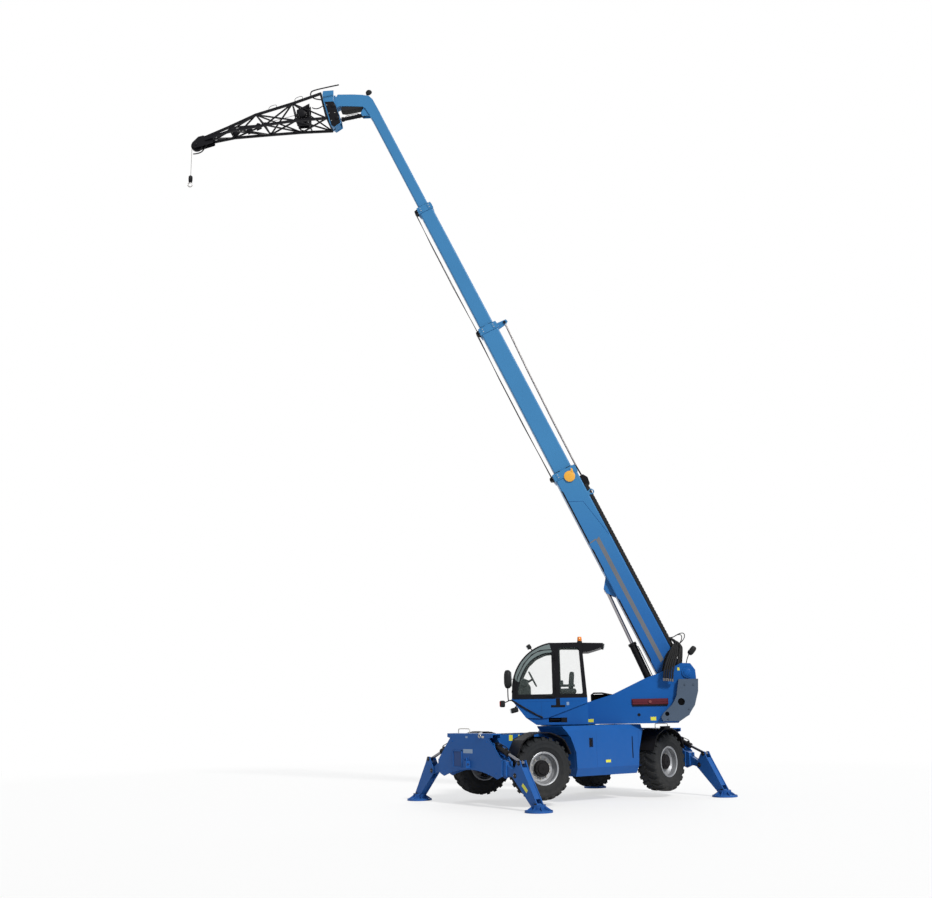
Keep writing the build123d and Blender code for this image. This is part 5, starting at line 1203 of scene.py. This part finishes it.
# ---------------------------------------------------------------- lattice jib and winch
# A triangular lattice of black square tube, with the winch bolted across its lower chords.
# Grab handles and guide bars are bent from round rod.
ROPE_THICK = 0.0062
LAID_R = 0.126
LAYS = 8
SHEAVE_X, SHEAVE_Z = 3.37, -0.74
dress(black_paint, "jib")
side_bar = [(0.235, 0.185, 0.13), (0.42, 0.26, 0.13), (0.51, 0.3, 0.2), (0.50, 0.3, 0.28)]
side_bar += [(0.46, 0.3, 0.325), (0.2, 0.3, 0.375), (-0.18, 0.3, 0.43)]
tip_bar = [(3.06, -0.66), (3.14, -0.78), (3.22, -0.92), (3.33, -0.96), (3.445, -0.965)]
root_bar = [(0.26, 0, 0.10), (0.36, 0, 0.03), (0.47, 0, 0.02), (0.54, 0, 0.06)]
rods = [bent(side_bar, 0.015), bent([(x, 0.03, z) for x, z in tip_bar], 0.014), bent(root_bar, 0.012)]
for x, z in ((0.78, 0.315), (1.42, 0.135)):
    grip = [(x, 0, z - 0.01), (x, 0, z + 0.09), (x + 0.19, 0, z + 0.035), (x + 0.19, 0, z - 0.065)]
    rods.append(bent(grip, 0.006))
piece("jib_rods", at(jib_place, *rods), black_paint, "jib")
# Winch: gearbox and motor outside the plates, a guard over the drum, and a valve block
winch = jib_place @ stand((0.735, 0, -0.19), X, Y)
gearbox = turned([(0.11, 0.079), (0.11, 0.13), (0.095, 0.14), (0.09, 0.2), (0.075, 0.21)], 36)
motor = turned([(0.05, -0.24), (0.055, -0.22), (0.055, -0.12), (0.085, -0.115), (0.085, -0.079)], 36)
guard = slab([(0.60, 0.02), (0.86, -0.1), (0.87, -0.04), (0.62, 0.11)], -0.1, 0.1, 0.01)
valve = box(0.63, 0.70, 0.1, 0.2, -0.40, -0.33, 0.008)
drive = at(winch, gearbox, motor) + at(jib_place, guard, valve)
piece("winch_drive", drive, black_paint, "jib")
winch_bolts = [winch @ place for place in spread_round(10, 0.1, 0.13)]
piece("winch_bolts", bolts(0.009, winch_bolts), zinc, "jib")
# The rope's lay on the drum, its run along the jib, and its turn over the sheave
rope_steel = finish_of("rope_steel", (0.16, 0.155, 0.15), 0.45, metal=0.8, peel=0.2, peel_size=300)
laid = np.linspace(0, LAYS * 2 * np.pi, LAYS * 28)
across_drum = -0.052 + 0.104 * laid / laid[-1]
wound = np.column_stack([LAID_R * np.cos(laid), LAID_R * np.sin(laid), across_drum])
leave = [(0.735, -0.064), (1.6, -0.246), (2.5, -0.436), (3.12, -0.566), (3.33, -0.616)]
leave = tube([(x, 0, z) for x, z in leave], ROPE_THICK, 8)
over = np.linspace(np.radians(104), 0, 14)
over = np.column_stack([SHEAVE_X + LAID_R * np.cos(over), 0 * over, SHEAVE_Z + LAID_R * np.sin(over)])
winding = at(winch, tube(wound, ROPE_THICK, 6)) + at(jib_place, leave, tube(over, ROPE_THICK, 8))
piece("winch_rope", winding, rope_steel, "jib")
# Guide sheaves and their plates along the lower chords, and the plates and pin caps at the tip
guides = []
guide_plate = [(-0.07, -0.04), (0.05, -0.09), (0.08, 0.02), (0.02, 0.085), (-0.05, 0.06)]
guide_plates = [slab(guide_plate, y - 0.005, y + 0.005) for y in (-0.035, 0.035)]
for x, z, r in ((1.85, -0.345, 0.055), (2.06, -0.43, 0.06), (2.42, -0.45, 0.06)):
    guides += at(stand((x, 0, z), X, Z), *guide_plates)
    guide_sheave = turned([(r, -0.028), (r * 0.8, -0.01), (r * 0.8, 0.01), (r, 0.028)], 24)
    guides += at(stand((x, 0, z), X, Y), guide_sheave)
tip_plate = [(2.97, -0.70), (3.30, -0.80), (3.34, -0.62), (3.24, -0.545), (3.0, -0.62)]
tip_cap = turned([(0.035, 0), (0.035, 0.01), (0.028, 0.014)], 24)
for way in (-1, 1):
    guides.append(slab(tip_plate, way * 0.059 - 0.009, way * 0.059 + 0.009, 0.004))
    guides += at(stand((SHEAVE_X, way * 0.09, SHEAVE_Z), X, way * Y), tip_cap)
piece("jib_guides", at(jib_place, *guides), black_paint, "jib")
gusset = slab([(-0.09, -0.001), (0.09, -0.001), (0.03, 0.07), (-0.03, 0.07)], -0.004, 0.004, 0.002)
gusset_places = []
for x, y, z in ((0.85, 0.28, -0.42), (1.62, 0.235, -0.45), (2.5, 0.17, -0.5)):
    gusset_places += [jib_place @ stand((x, way * y, z), X, Z) for way in (-1, 1)]
piece("jib_gussets", [many(gusset, gusset_places)], black_paint, "jib")

# ---------------------------------------------------------------- hoist rope, weight and hook
# Steel wire rope down to a cast weight, with a ball-bearing swivel and a forged hook under it.
# The weight is black; the swivel and hook are bare, bright where they wear.
WEIGHT_TOP = -1.515
forged = finish_of("forged_steel", (0.40, 0.39, 0.38), 0.32, metal=0.95, peel=0.5, peel_size=80)
drop = jib_place @ stand((SHEAVE_X + LAID_R, 0, 0), X, Z)
rope_curve = bpy.data.curves.new("hoist_rope", "CURVE")
rope_curve.dimensions = "3D"
rope_curve.bevel_depth = 0.006
rope_curve.bevel_resolution = 3
rope_curve.use_fill_caps = True
rope_curve.materials.append(rope_steel)
rope_line = np.array([drop @ (0, 0, z, 1) for z in np.linspace(SHEAVE_Z, WEIGHT_TOP, 5)])
strand = rope_curve.splines.new("NURBS")
strand.points.add(len(rope_line) - 1)
strand.points.foreach_set("co", rope_line.ravel())
strand.order_u = 3
strand.use_endpoint_u = True
rope = bpy.data.objects.new("hoist_rope", rope_curve)
scene.collection.objects.link(rope)
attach(rope, "hook")
weight = [(0.012, -1.70), (0.04, -1.69), (0.047, -1.66), (0.05, -1.60), (0.047, -1.545)]
weight += [(0.03, -1.525), (0.014, WEIGHT_TOP)]
ball = piece("hook_weight", at(drop, turned(weight, 40)), black_paint, "hook")
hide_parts("hook")
bend = np.radians(np.linspace(128, -170, 26))
hook_line = np.column_stack([0.056 * np.cos(bend), 0 * bend, -1.755 + 0.056 * np.sin(bend)])
thickness = np.interp(np.linspace(0, 1, 26), [0, 0.15, 0.6, 1], [0.011, 0.015, 0.017, 0.007])
swivel = turned([(0.012, -1.712), (0.02, -1.71), (0.022, -1.69), (0.016, -1.68)], 24)
latch = tube([(-0.045, 0, -1.73), (-0.04, 0, -1.77), (-0.043, 0, -1.80)], 0.006, 8)
hook_parts = at(drop, tube(hook_line, thickness, 12), swivel, latch)
piece("swivel_hook", hook_parts, forged, "hook")

low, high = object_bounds()
